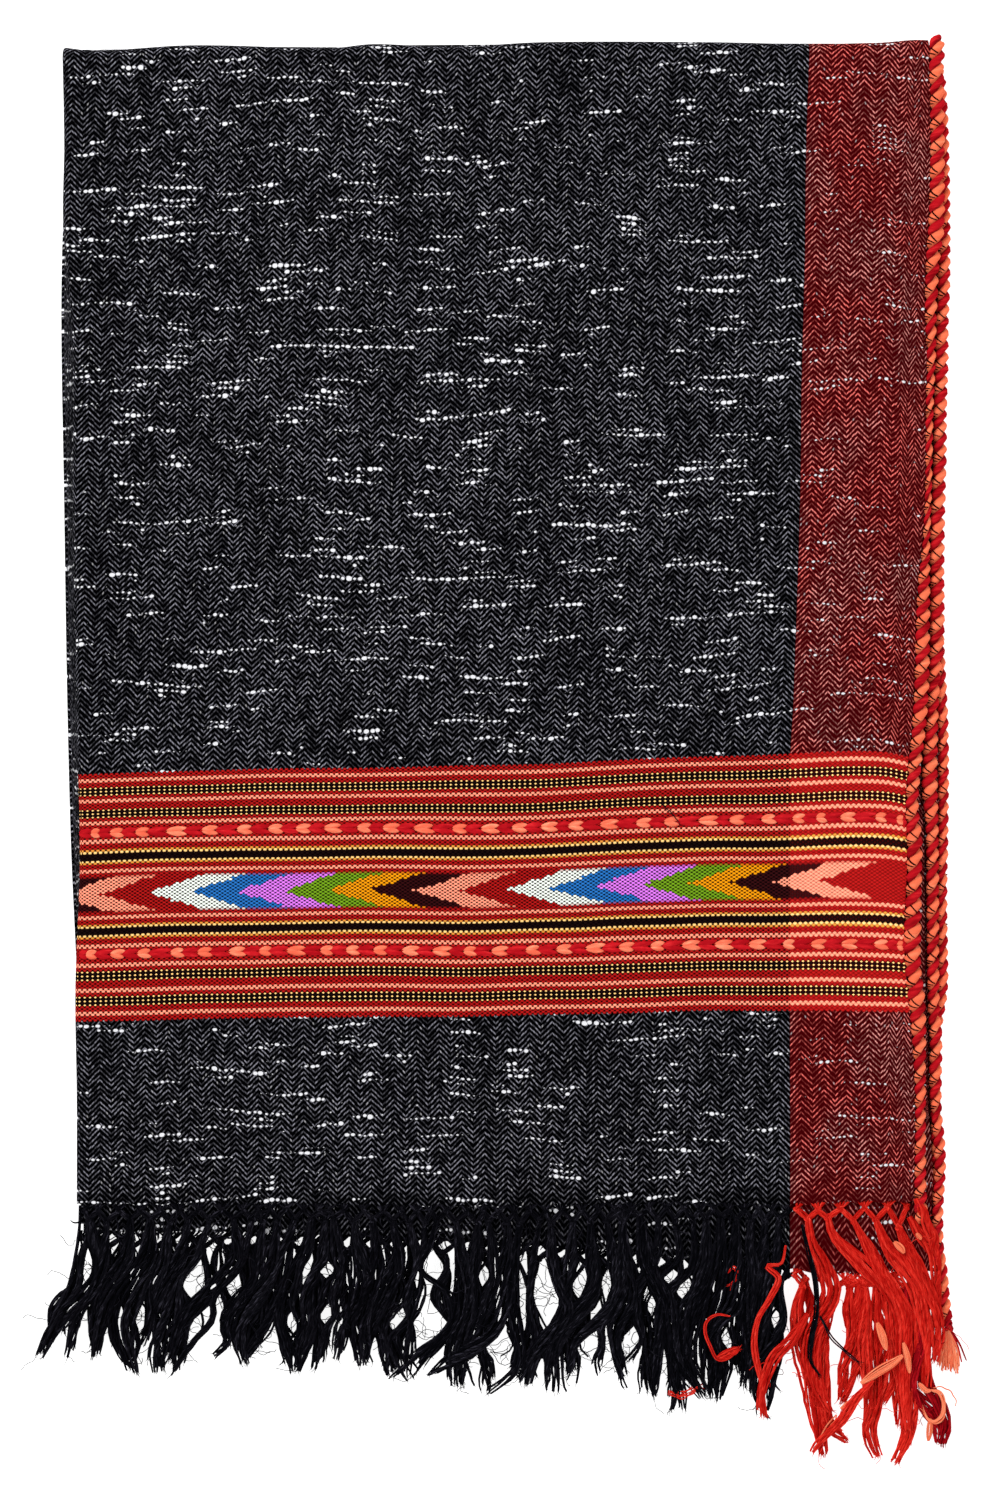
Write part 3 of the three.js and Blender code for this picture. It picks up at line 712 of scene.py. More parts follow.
def under_layer(offset):
    across_steps, close_rows, wide_rows = 120, 22, 78
    close_share = 0.09
    part = np.concatenate([
        np.linspace(0, close_share, close_rows + 1)[:-1],
        np.linspace(close_share, 1, wide_rows + 1)])[:, None]
    middle = between(-212, 290, part)
    left = along(left_folds, "front", middle) + front_top - under_level + cloth_wall / 2
    right = along(under_rope, "x", middle) - along(under_rope, "wide", middle) - rope_seam
    x = between(left, right, np.linspace(0, 1, across_steps + 1)[None, :])
    end = along(cloth_ends, "under", x) + drawn_in(x + tassel_pitch / 2) * (1 - part) ** 8
    y = between(end, along(top_fold, "y", x) - roll_reach - 1, part)
    z = under_level + offset + relief_of(x, y)
    across, lengthwise = weave_place(x, y, "under")
    lengthwise = np.minimum(lengthwise, band_start - 3)
    lengthwise = np.where(y > -150, y + 150 + band_start, lengthwise)
    return np.stack([x, y, z], -1), np.stack([across, lengthwise], -1)


plain_wool = woven_finish("plain_wool", False, 0.02, 50)
outer_face, weave = under_layer(cloth_wall / 2)
inner_face, _ = under_layer(-cloth_wall / 2)
under_cloth = cloth_piece("under_cloth", outer_face, inner_face, weave, plain_wool)
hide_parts("under_panel")


# ---- Hidden layers -----------------------------------------------------------------------------
# Six more layers lie below, in three folds that stand one above the other at the left. Their
# selvedges lie at the right, and the lowest layer is the plain herringbone of the underside.
pile_height = 6.6
layer_folds = (3.6, 1.8, 0)     # how far each fold draws in, from the lowest up
pile_right = 184.8
pile_length = 500
hidden_end_back = 3             # the hidden ends lie this far behind the second layer's,
corner_back = 15                # and this much farther at the lower right corner
hidden_weave = 420              # how far the hidden cloth's weave is shifted along it
pile_stations = table("along low high", [
    (0, 4.3, 5.5), (0.8, 4, 5.9), (12.5, 3.9, 6.3), (13, 2.2, 6.3), (13.8, 0.7, 6.4),
    (15.4, 0, 6.6), (488, 0, 6.6), (494.4, 0, 6.6), (496.4, 0, 6), (497.6, 0, 4.8),
    (497.9, 0, 3.2), (499.5, 0.3, 3), (500, 1, 2.3),
])


def pile_ring():
    """The pile's section, clockwise from the lower right: (share across, place in mm, height)."""
    ring = []
    across_steps, fold_steps = 44, 9
    lobe = pile_height / len(layer_folds)
    for share in np.linspace(1, 0, across_steps + 1):
        ring.append(("face", share, 0))
    for n, inset in enumerate(layer_folds):
        for turn in np.linspace(-1.45, 1.45, fold_steps):
            ring.append(("fold", inset + lobe / 2 * (1 - math.cos(turn)) * 1.25,
                         (n + 0.5 + math.sin(turn) * 0.49) / len(layer_folds)))
    for share in np.linspace(0, 1, across_steps + 1):
        dip = 0.22 * step(share, 0.83, 0.93)
        ring.append(("face", share, 1 - dip))
    selvedges = 6
    for n in range(selvedges):
        for turn in (0.8, 0, -0.8):
            level = (selvedges - n - 0.5 + turn * 0.48) / selvedges
            ring.append(("edge", 1.1 * math.cos(turn) - 1.1, level * 0.78))
    return ring


def hidden_pile():
    ring = pile_ring()
    close = np.concatenate([pile_stations["along"], np.linspace(20, 484, 90)])
    close.sort()
    part = close / pile_length
    low = np.interp(close, pile_stations["along"], pile_stations["low"])
    high = np.interp(close, pile_stations["along"], pile_stations["high"])
    middle = between(-205, 297, part)
    left = along(left_folds, "hidden", middle)
    inner_left = left + layer_folds[0] + 1.4
    points, places = [], []
    arc = 0
    for kind, place, height in ring:
        x = between(inner_left, pile_right, place) if kind == "face" else left + place
        if kind == "edge":
            x = pile_right + place + 0 * left
        start = along(cloth_ends, "under", x) + hidden_end_back + corner_back * step(x, 166, 178)
        y = between(start, along(top_fold, "y", x), part)
        lift = relief_of(x, y) * (high == pile_height) * (height > 0.5)
        z = between(low, high, height) + lift
        points.append(np.stack([x, y, z], -1))
        arc = arc + 0.6 if kind != "face" else 0
        across = x - along(border_line, "x", y) - (arc if kind == "fold" else -arc)
        places.append(np.stack([across, y + hidden_weave], -1))
    return np.stack(points, 1), np.stack(places, 1)


def pile_piece(name, finish):
    points, places = hidden_pile()
    stations, count = points.shape[:2]
    index = np.arange(stations * count).reshape(stations, count)
    ahead = np.roll(index, -1, axis=1)
    quads = np.stack([index[:-1], ahead[:-1], ahead[1:], index[1:]], -1).reshape(-1, 4)
    faces = quads.tolist() + [index[0, ::-1].tolist(), index[-1].tolist()]
    mesh = bpy.data.meshes.new(name)
    mesh.from_pydata((points.reshape(-1, 3) * MM).tolist(), [], faces)
    corners = np.concatenate([quads.ravel(), index[0, ::-1], index[-1]])
    add_map(mesh, "Cloth", places.reshape(-1, 2)[corners])
    return finished(mesh, finish, crease_angle=70)


hidden_wool = woven_finish("hidden_wool", False, 0.05, 9)
hidden_folds = pile_piece("hidden_folds", hidden_wool)
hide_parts("folded_layers")


# ---- Edgings -----------------------------------------------------------------------------------
# Each selvedge is bound with two thick wool plies, salmon and crimson, twisted together and
# whipped to the cloth with a dark thread. The upper one curls over the top fold.
def yarn_finish(name, shade, light, highlight, streak=9, twist=0.0, crease_shade=0.0):
    """Wool yarn: the Strand map holds millimetres along a thread, and around it the thread's
    number and its turn from nought to one. Its brightest streaks take a painted highlight, and
    the sides of its plies can be painted darker as shade where they touch."""
    material, tree, wool, lengthwise, thread = wool_shader(name, "Strand", 0.9, 0.02)
    number = thread.floor()
    turn = thread.fract() + lengthwise * twist
    tone, _, _ = chances(tree, number, 7.5)
    lines = cloudy(tree, lengthwise / 5, turn * streak + number * 3.7, 3)
    mottle = cloudy(tree, lengthwise / 9, number * 1.3 + 4.1, 1)
    mixed = (lines * 1.5 - 0.3 + (tone - 0.5) * 0.5 + (mottle - 0.5) * 0.6).smooth(0.05, 0.95)
    colour = blend(tree, mixed, shade, light)
    # Painted highlight: the brightest streaks are lifted towards a lighter colour.
    colour = blend(tree, (lines + tone * 0.2).smooth(0.72, 0.9) * 0.6, colour, highlight)
    # Painted shade: the sides and underside of each ply are darkened where the plies touch.
    off_top = abs(thread.fract() - 0.25)
    colour = blend(tree, off_top.smooth(0.12, 0.25) * crease_shade, colour, dye(58, 0, 6))
    cover(tree, wool, colour, lines, 0.6, 0.25)
    return material


salmon_yarn = yarn_finish("salmon_yarn", dye(248, 114, 78), dye(255, 148, 108), dye(255, 176, 138),
                          5, 0.05, 0.35)
crimson_yarn = yarn_finish("crimson_yarn", dye(126, 4, 13), dye(192, 20, 31), dye(220, 44, 47),
                           5, 0.05, 0.6)
tie_thread = yarn_finish("tie_thread", dye(30, 0, 3), dye(58, 2, 5), dye(84, 6, 8))


class Skein:
    """Collects many tubes of yarn into one mesh."""

    def __init__(self):
        self.points = []
        self.faces = []
        self.places = []
        self.finish_numbers = []
        self.size = 0
        self.threads = 0

    def add(self, lines, wide, high=None, sides=5, facing=None, finish=0):
        """Adds tubes along lines, shaped (threads, points, 3), with half their width and height
        at every point. facing is the way that the height points, and up if it isn't given."""
        lines = np.asarray(lines, float)
        if lines.ndim == 2:
            lines = lines[None]
        threads, count = lines.shape[:2]
        ahead = unit(np.gradient(lines, axis=1), least=1e-9)
        if facing is None:
            facing = carried_up(ahead)
        side = unit(np.cross(ahead, facing), least=1e-9)
        top = np.cross(side, ahead)
        wide = np.broadcast_to(wide, (threads, count))
        high = wide if high is None else np.broadcast_to(high, (threads, count))
        turn = np.arange(sides) / sides * 2 * math.pi
        rings = (lines[:, :, None]
                 + side[:, :, None] * (wide[..., None, None] * np.cos(turn)[:, None])
                 + top[:, :, None] * (high[..., None, None] * np.sin(turn)[:, None]))
        index = np.arange(threads * count * sides).reshape(threads, count, sides) + self.size
        around = np.roll(index, -1, axis=2)
        quads = np.stack([index[:, :-1], around[:, :-1], around[:, 1:], index[:, 1:]], -1)
        quads = quads.reshape(-1, 4)

        run = np.linalg.norm(np.diff(lines, axis=1), axis=2).cumsum(1)
        run = np.concatenate([np.zeros((threads, 1)), run], 1)
        number = np.arange(threads) + self.threads
        s0 = np.broadcast_to(run[:, :-1, None], (threads, count - 1, sides))
        s1 = np.broadcast_to(run[:, 1:, None], (threads, count - 1, sides))
        t0 = number[:, None, None] + np.arange(sides) / sides * 0.998 + 0 * s0
        t1 = number[:, None, None] + (np.arange(sides) + 1) / sides * 0.998 + 0 * s0
        places = np.stack([np.stack([s0, t0], -1), np.stack([s0, t1], -1),
                           np.stack([s1, t1], -1), np.stack([s1, t0], -1)], 3)
        self.points.append(rings.reshape(-1, 3))
        self.faces += quads.tolist()
        self.places.append(places.reshape(-1, 2))
        for n in range(threads):
            for cap in (index[n, 0, ::-1], index[n, -1]):
                self.faces.append(cap.tolist())
                middle = (0 if cap[0] > cap[1] else run[n, -1], number[n] + 0.5)
                self.places.append(np.tile(middle, (sides, 1)))
        self.finish_numbers += [finish] * (len(quads) + 2 * threads)
        self.size += threads * count * sides
        self.threads += threads

    def piece(self, name, *finishes):
        mesh = bpy.data.meshes.new(name)
        mesh.from_pydata((np.concatenate(self.points) * MM).tolist(), [], self.faces)
        add_map(mesh, "Strand", np.concatenate(self.places))
        mesh.polygons.foreach_set("material_index", self.finish_numbers)
        return finished(mesh, *finishes, crease_angle=80)


def unit(ways, least=0.0):
    """Ways of length one. least keeps a way of no length from failing."""
    return ways / (np.linalg.norm(ways, axis=-1, keepdims=True) + least)


def sideways(line):
    """Unit ways at right angles to a line, level with the table."""
    ahead = np.gradient(line, axis=0)
    return unit(np.stack([-ahead[:, 1], ahead[:, 0], 0 * ahead[:, 0]], -1))


def carried_up(ahead):
    """A steady upward direction along each line, at right angles to it."""
    up = np.zeros_like(ahead)
    now = np.tile([0.05, 0.03, 1.0], (len(ahead), 1))
    for n in range(ahead.shape[1]):
        now = unit(now - ahead[:, n] * (now * ahead[:, n]).sum(1, keepdims=True), least=1e-9)
        up[:, n] = now
    return up


def through(points, count):
    """A smooth line through given points, with count even steps."""
    points = np.asarray(points, float)
    steps_apart = np.linalg.norm(np.diff(points[:, :3], axis=0), axis=1)
    chord = np.concatenate([[0], steps_apart.cumsum()])
    place = np.linspace(0, chord[-1], count)
    return np.stack([along({"run": chord, "value": column}, "value", place)
                     for column in points.T], -1)


rope_lay = 10.0
ply_offset = 0.37       # from the rope's middle to each ply's, as a share of its half width
ply_width = 0.555
rng = np.random.default_rng(28)


def twisted_rope(route, flat, phase, pace=0.7, sides=12, taper=3.0):
    """Two plies round a route of (x, y, z, half width), and the dark threads that tie the salmon
    one. flat is the rope's height as a share of its width."""
    length = np.linalg.norm(np.diff(route[:, :3], axis=0), axis=1).sum()
    count = int(length / pace)
    path = through(route, count)
    centre = path[:, :3]
    half_width = path[:, 3]
    run = np.linspace(0, length, count)
    ahead = unit(np.gradient(centre, axis=0))
    side = unit(np.array([1.0, 0, 0]) - ahead * ahead[:, :1])
    up = np.cross(side, ahead)
    size = half_width * between(0.45, 1, step(np.minimum(run, length - run), 0, taper))
    uneven = 0.4 * np.sin(run / 31 + phase) + 0.3 * np.sin(run / 12.7 + 2 * phase)
    skein = Skein()
    for ply, girth, swell in ((0, 0.98, 0.08), (1, 1, 0.24)):
        turn = phase + ply * math.pi - 2 * math.pi * run / rope_lay + uneven
        lump = 1 + swell * np.cos(turn - 0.82 * math.pi) + 0.08 * np.sin(run * 0.47 + ply)
        lump += 0.06 * np.sin(run * 0.21 + 2 * ply)
        aside = (np.cos(turn) * size * ply_offset)[:, None]
        aloft = (np.sin(turn) * size * ply_offset * flat)[:, None]
        line = centre + side * aside + up * aloft
        outward = side * np.cos(turn)[:, None] * flat + up * np.sin(turn)[:, None]
        reach = size * (1 - ply_offset) * (np.abs(np.cos(turn)) + flat * np.abs(np.sin(turn)))
        skein.add(line, ply_width * girth * lump * size, reach, sides=sides,
                  facing=outward[None], finish=ply)
        if ply == 1:
            tie_threads(skein, line, outward, turn, reach, half_width)
    return skein


def tie_threads(skein, line, outward, turn, reach, half_width):
    """Dark threads over the lower end of every salmon stretch, fanning from its right side."""
    ahead = unit(np.gradient(line, axis=0))
    phase = np.mod(turn - math.pi / 2, 2 * math.pi)
    tops = np.nonzero((phase[1:] > 5) & (phase[:-1] < 1))[0]
    swing = np.linspace(-1.3, 1.3, 11)[:, None]
    for top in tops:
        first = rng.uniform(0.2, 0.9)
        for n in range(rng.choice([2, 3, 3])):
            at = top - int(round((first + n * rng.uniform(0.9, 1.3)) / 0.85))
            if at < 4 or at > len(line) - 5:
                continue
            out = unit(outward[at])
            side = np.cross(ahead[at], out)
            fan = (0.5 - np.sin(swing) * 0.5) * (n - 0.6) * -1.1
            points = (line[at] + out * np.cos(swing) * (reach[at] + 0.14)
                      + side * np.sin(swing) * half_width[at] * 0.64 + ahead[at] * fan)
            skein.add(points, rng.uniform(0.26, 0.36), sides=4, finish=2)


# How the front edging goes on over the top fold: how far past it, and how high.
front_curl = [(-4.5, 11.4), (-1, 10.2), (1.2, 7.8), (1.6, 5.6)]


def rope_route(rows):
    return np.stack([rows[column] for column in ("x", "y", "z", "wide")], -1)


def front_rope_route():
    last_x = front_rope["x"][-1]
    crest = float(along(top_fold, "y", last_x))
    curl = [(last_x + 0.4, crest + beyond, z, 3.1) for beyond, z in front_curl]
    return np.concatenate([rope_route(front_rope), curl])


def edging(name, rope):
    piece = rope.piece(name, crimson_yarn, salmon_yarn, tie_thread)
    return piece


front_edging = edging("front_edging", twisted_rope(front_rope_route(), 0.72, 0.4))
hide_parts("edging_front")
under_edging = edging("under_edging", twisted_rope(rope_route(under_rope), 0.74, 2.1))
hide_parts("edging_under")


# ---- Edgings of the hidden layers --------------------------------------------------------------
# The hidden selvedges are bound in the same way. Only their outer sides show, one above the
# other beside and below the second edging.
hidden_rope = table("y x wide", [
    (-190, 182.6, 2.2), (-150, 182.6, 2.2), (-122, 182.8, 2.2), (-112, 184.2, 2.2),
    (-100, 185.7, 2.4), (-60, 185.5, 2.3), (-30, 186, 2.4), (10, 186, 2.4), (30, 185.1, 2.3),
    (60, 183.8, 2.2), (100, 183.2, 2.2), (150, 184, 2.3), (200, 185, 2.3), (290, 184, 2.3),
])


def hidden_edging(name, level, inset, phase):
    y = np.linspace(-190, 290, 33)
    x = along(hidden_rope, "x", y) - inset
    route = np.stack([x, y, np.full(len(y), level), along(hidden_rope, "wide", y)], -1)
    edging(name, twisted_rope(route, 0.56, phase, pace=1.1, sides=8))


hidden_edging("hidden_edging_upper", 5.2, 0, 1.2)
hidden_edging("hidden_edging_lower", 2.8, 0.9, 3.4)


# ---- Chain rows of the band --------------------------------------------------------------------
# Two rows of the band are twined with thick yarn in salmon and crimson, which stands up from the
# cloth as a chain of small pointed links.
# By row: where the salmon links lie, from their point to their open end.
chain_links = {
    34: [(-172.5, -168.5), (-164.5, -158.5), (-153.8, -147.6), (-140.8, -132.4), (-125.9, -118.7),
         (-111.1, -104.5), (-98, -91.5), (-86.4, -80.1), (-74.5, -66.9), (-60.6, -55),
         (-49.9, -42.9), (-36.9, -28.1), (-20.7, -14.2), (-8.6, -0.7), (4.3, 10.7), (16.5, 23.8),
         (28, 34.4), (41.4, 49.5), (56.5, 62.7), (68.2, 74.7), (82.7, 91.1), (95.6, 102),
         (109, 115.2), (122.1, 127.7), (132.1, 136.5), (142.2, 149), (156.9, 161.9),
         (165.7, 169.4)],
    -34: [(-174.8, -170), (-164.3, -158.1), (-152.9, -147), (-139, -133), (-127.7, -121.3),
          (-114.5, -107.5), (-101.8, -96.6), (-90.2, -82.2), (-76.1, -70.9), (-65.3, -59.4),
          (-53.8, -48.2), (-41.7, -34.7), (-29, -20.8), (-16, -10.8), (-4.2, 3.1), (10.1, 16.3),
          (23, 29.4), (35.3, 43.4), (49.2, 55.7), (62.6, 68.6), (75.7, 83.5), (89.5, 97.3),
          (103.8, 111.2), (118.1, 123.1), (129.9, 136.3), (142.7, 149.8), (156.4, 162.5),
          (165.9, 168.6)],
}
chain_ends = (-177.4, 169.8)
link_width = 1.15       # half of each arm's width and height at its middle
link_height = 0.55


def on_front(x, lengthwise):
    """The spot of the front face at a place in the weave within the band."""
    picked = (lengthwise - band_start) / band_length
    at_left = np.interp(picked, band_beaten["picked"], band_beaten["left"])
    at_right = np.interp(picked, band_beaten["picked"], band_beaten["right"])
    lying = between(at_left, at_right, step(x, *beaten_x))
    y = between(along(band_lines, "low", x), along(band_lines, "high", x), lying)
    return np.stack([x, y, front_height(x, y)], -1)


def chain_rows():
    skein = Skein()
    share = np.linspace(0, 1, 11)
    swell_of = np.sin(share * math.pi) ** 0.6
    for row, links in chain_links.items():
        level = band_middle + row * pick_height
        stretches = [(1, start, end) for start, end in links]
        gaps = [chain_ends[0] - 1] + [n for link in links for n in link] + [chain_ends[1] - 1]
        stretches += [(0, gaps[n] - 1.4, gaps[n + 1] + 1) for n in range(0, len(gaps), 2)]
        for finish, start, end in stretches:
            for arm in (-1, 1):
                x = between(max(start, chain_ends[0]), end + rng.uniform(-0.5, 0.5), share)
                lean = arm * (0.35 + 0.95 * share)
                points = on_front(x, level + lean)
                points[:, 2] += 0.05 + 0.1 * finish
                skein.add(points, link_width * swell_of + 0.06, link_height * swell_of + 0.04,
                          sides=8, finish=finish)
    return skein


crimson_link = yarn_finish("crimson_link", dye(170, 14, 24), dye(206, 28, 36), dye(226, 50, 52), 5)
salmon_link = yarn_finish("salmon_link", dye(240, 104, 76), dye(253, 142, 108), dye(255, 170, 134), 5)
chain_row = chain_rows().piece("chain_row", crimson_link, salmon_link)


# ---- Fringe ------------------------------------------------------------------------------------
# The warp ends are knotted in two rows set between each other, and hang from the lower knots in
# combed tassels: black below the black cloth and red below the border. Three rows of tassels
# show, those of the front layer, of the second layer and of the layers hidden below.
black_end = 120.5       # the black tassels hang up to here
# How far each row's tips lean sideways from their knots.
fringe_lean = table("x front under lower", [
    (-176, -13, -18, -4), (-158, -9, -6, -2), (-130, -14, 3, 3), (-95, -15, -6, 1),
    (-60, -13, 4, -4), (-20, -10, -6, 2), (20, -15, 3, 4), (55, -9, -5, -3), (85, 6, 4, 2),
    (120, 3, -4, -2), (145, 9, 3, 2), (172, 13, 11, 6),
])
# Each row's level where it leaves the cloth, the end that it hangs from and how far behind that,
# its first knot, how high its yarns rise, how low their tips lie and how much shorter they are.
fringe_rows = {
    "front": dict(level=front_level, end="front", back=0, start=first_knot, crest=10.2, tip=6.4,
                  short=5, seed=3),
    "under": dict(level=under_level, end="under", back=0, start=-175.6, crest=7.2, tip=3.9,
                  short=1, seed=41),
    "lower": dict(level=4.9, end="under", back=hidden_end_back, start=-169.2, crest=4.4, tip=1.3,
                  short=9, seed=87),
}
# Where the black tassels gather to points.
fringe_tips = table("x y", [
    (-191.5, -254.5), (-183.3, -254.7), (-171.2, -254.7), (-155.2, -262.3), (-138.8, -264.4),
    (-107.7, -256.8), (-88, -261.5), (-78.8, -261), (-58.6, -258.9), (-47.3, -264.8),
    (-17.9, -268.2), (-5.7, -271.5), (10.7, -266.1), (20.8, -269.4), (29.2, -264.8),
    (52.7, -266.9), (61.9, -273.2), (72.9, -279.9), (90.9, -274.9), (101.9, -266.1),
    (113.2, -281.6),
])
# Open places in the fringe, where the yarns part: middle, size and sideways lean for each
# millimetre towards the cloth.
fringe_gaps = table("x y wide high lean", [
    (-173.7, -215.7, 4.6, 14, 0.1), (-151.8, -238.4, 5, 17, 0.35), (-129.2, -222.6, 7.5, 17, 0.2),
    (-128.8, -241.7, 4, 18, 0.7), (-112.8, -224.5, 6.5, 15, 0.7), (-120.3, -206.9, 3, 3, 0),
    (-110.7, -204, 3, 3, 0), (-81.7, -217.4, 4.2, 9, 0.2), (-73.3, -217.8, 7, 6, 0),
    (-88, -240.5, 5, 11, 0.1), (-73.7, -236.7, 6, 8, 0), (-43.9, -239.2, 6, 11, 0.15),
    (-28.8, -217.8, 7.5, 13, 0.3), (-28.4, -241.7, 9, 14, 0.8), (-35.5, -220.7, 2.5, 11, 0),
    (-7.4, -220.7, 4.2, 9, 0.1), (9.5, -229.1, 5, 32, 0.12), (18.9, -228, 8.5, 28, -0.1),
    (32.6, -224.5, 5, 13, 0.4), (44.3, -222.8, 3.8, 10, 0.2), (-1, -251, 8, 8, 0),
    (37.2, -248.9, 9, 10, 0.6), (54, -248.9, 6, 13, 0.2), (62.8, -232, 4, 10, 0.3),
    (71.2, -220.7, 7, 7, 0.4), (76.6, -225.8, 6, 9, 0.7), (94.3, -247.6, 3.4, 8.5, 0.3),
    (115.3, -237.9, 3.4, 7, 0.1), (127.5, -219, 4, 5, 0),
])
# Black tassels of the front layer: size, place of the knot along the cloth, and the way from
# there to the tip.
front_black_routes = [
    (1.25, -173.2, [(-171.4, -210.7), (-174.4, -224), (-183.6, -234.8), (-193.9, -254.7)]),
    (0.7, -165.7, [(-166.5, -211.6), (-170.7, -225.7), (-178.2, -237.3), (-183.6, -254.7)]),
    (1.1, -155.8, [(-157.4, -210.7), (-164.9, -227.3), (-169, -241.4), (-171.4, -254.7)]),
    (1.2, -147.4, [(-149.1, -211.6), (-157.4, -227.3), (-160.7, -242.3), (-155.3, -261.8)]),
    (1, -139.1, [(-142.5, -213.2), (-147.4, -225.7), (-150.4, -237.3), (-152.4, -249.7)]),
    (1.1, -131.7, [(-134.2, -211.6), (-140, -224), (-142.5, -237.3), (-145, -250.6),
                (-144.1, -260.9)]),
    (0.5, -122.5, [(-128.4, -213.2), (-133.8, -220.7), (-135.2, -234), (-137.1, -247.2),
                (-138.7, -257.2)]),
    (1, -112.6, [(-110.9, -213.2), (-120.1, -224), (-130.8, -234.8), (-137.9, -244.8),
                (-142.5, -258)]),
    (0.45, -104.3, [(-110.1, -217.4), (-121.3, -230.6), (-122.1, -238.9), (-130, -248.9),
                (-139.1, -263.9)]),
    (0.9, -100.1, [(-103.5, -219), (-113.4, -230.6), (-118, -241.4), (-115.1, -248.1),
                (-120.5, -254.7)]),
    (1.1, -94.3, [(-98.5, -217.4), (-105.1, -230.6), (-109.3, -243.1), (-106.8, -257.6)]),
    (1, -86.9, [(-92.7, -217.4), (-97.2, -230.6), (-99.7, -242.3), (-106.8, -255.6)]),
    (1.15, -79.4, [(-84.4, -219), (-91, -232.3), (-91.8, -245.6), (-87.7, -261.4)]),
    (0.9, -74, [(-76.1, -214), (-81.9, -227.3), (-80.2, -242.3), (-86, -260.5)]),
    (1.1, -70.4, [(-69.5, -217.4), (-72, -230.6), (-76.2, -245.6), (-78.7, -259.7)]),
    (1.2, -62.1, [(-59.6, -217.4), (-62.1, -230.6), (-66.2, -242.3), (-70.4, -255.6)]),
    (1.1, -53.8, [(-52.5, -217.4), (-55.4, -230.6), (-60.4, -243.9), (-59.6, -258.5)]),
    (1, -45.5, [(-44.2, -217.4), (-50, -231.5), (-55.4, -242.3), (-57.9, -255.6)]),
    (0.7, -38.8, [(-35.5, -217.4), (-40.1, -231.5), (-39.2, -245.6), (-38.7, -263.4)]),
    (0.55, -32.2, [(-33.7, -219.9), (-39.2, -234), (-47.1, -245.6), (-43, -254.7), (-38, -263.9)]),
    (0.55, -27.2, [(-30.5, -217.4), (-24.7, -224), (-21.8, -232.3), (-30.5, -248.1),
                (-47.1, -264.3)]),
    (1, -18.9, [(-16.4, -219), (-18.9, -235.6), (-25.5, -247.2), (-36.3, -263)]),
    (1.25, -9.8, [(-12.3, -220.7), (-13.9, -234), (-18.5, -248.1), (-18.9, -267.2)]),
    (0.9, -5.6, [(-2.7, -220.7), (-8.1, -233.1), (-13.9, -248.9), (-14.8, -262.2)]),
    (1.1, 2.7, [(2.7, -220.7), (-0.6, -234), (-8.9, -247.2), (-30.5, -263)]),
    (0.9, 7.7, [(4.7, -219), (6.4, -230.6), (7.7, -245.6), (6, -258.9), (-5.6, -270.9)]),
    (0.45, 16, [(12.2, -220.7), (10.6, -234), (13.5, -245.6), (11, -266.3)]),
    (1.1, 20.9, [(23.4, -224), (26.7, -234), (20.1, -245.6), (14.3, -255.6), (11, -265.5)]),
    (1, 30.1, [(28.4, -220.7), (25.9, -234), (20.9, -248.1), (19.3, -268.8)]),
    (1, 37.5, [(38.4, -223.2), (30.9, -235.6), (24.2, -248.9), (21.8, -269.2)]),
    (0.8, 44.2, [(47.5, -222.3), (45.8, -231.5), (35.9, -243.9), (28.4, -264.7)]),
    (1, 50.8, [(51.6, -220.7), (47.5, -234), (39.2, -247.2), (40.9, -262.6)]),
    (1.1, 51.1, [(51.1, -209.9), (54.3, -227.9), (48.5, -242), (52.3, -267.8)]),
    (1.3, 58.1, [(60.7, -211.2), (68.4, -229.2), (72.9, -243.3), (78.7, -260), (84.5, -271.6)]),
    (0.6, 65.8, [(65.2, -212.5), (56.8, -229.2), (57.5, -242), (62.6, -264.5)]),
    (0.9, 72.9, [(75.5, -214.4), (65.8, -229.2), (64.6, -245.3), (65.2, -269.7)]),
    (0.45, 80.6, [(80.6, -215), (71, -229.2), (69.1, -245.3), (75.5, -274.2)]),
    (1.1, 85.8, [(84.8, -215), (77.4, -230.5), (74.8, -245.3), (74.2, -271.6)]),
    (1.2, 92.2, [(92.2, -215), (85.8, -233), (81.9, -248.5), (83.2, -269.7)]),
    (1, 98.6, [(97.4, -216.3), (96.7, -233), (89.6, -244.6), (94.1, -256.2), (90.9, -273.5)]),
    (1.1, 105.1, [(104.4, -220.2), (103.1, -238.8), (101.2, -253.6), (100.9, -267.1)]),
    (0.8, 110.9, [(108.9, -220.2), (106.4, -238.8), (104.4, -251.7), (102.5, -263.9)]),
    (0.7, 116.6, [(114.7, -220.2), (110.9, -238.8), (107, -253.6), (107.6, -269.7)]),
]
# Tassels of the red part, one after the other along each row, from knot to tip.
front_red_routes = [
    [(128.7, -196.3), (130, -206.4), (134.6, -214.4), (138, -226.2), (134.6, -235.4),
     (130.8, -243), (130.4, -252.2), (133.8, -266.1), (138.8, -277.4)],
    [(137.1, -195.8), (139.2, -203.5), (148.9, -212.3), (156.9, -220.7), (163.6, -229.5),
     (167.4, -238.3), (168.6, -251.4), (169.5, -261.4), (170.7, -272.4), (172, -285.4)],
    [(147.6, -196.8), (153.9, -208.1), (158.5, -216.9), (165.3, -227.4), (171.2, -238.3),
     (173.2, -251.8), (173.2, -266.1)],
    [(157.3, -196.8), (161.5, -206.4), (168.2, -216.1), (174.1, -226.6), (177.4, -238.3),
     (178.3, -251.8), (177.9, -267.3)],
    [(166.9, -199.7), (171.2, -210.2), (176.2, -219.9), (180.4, -230.4), (182.1, -242.1),
     (181.2, -256.4)],
]
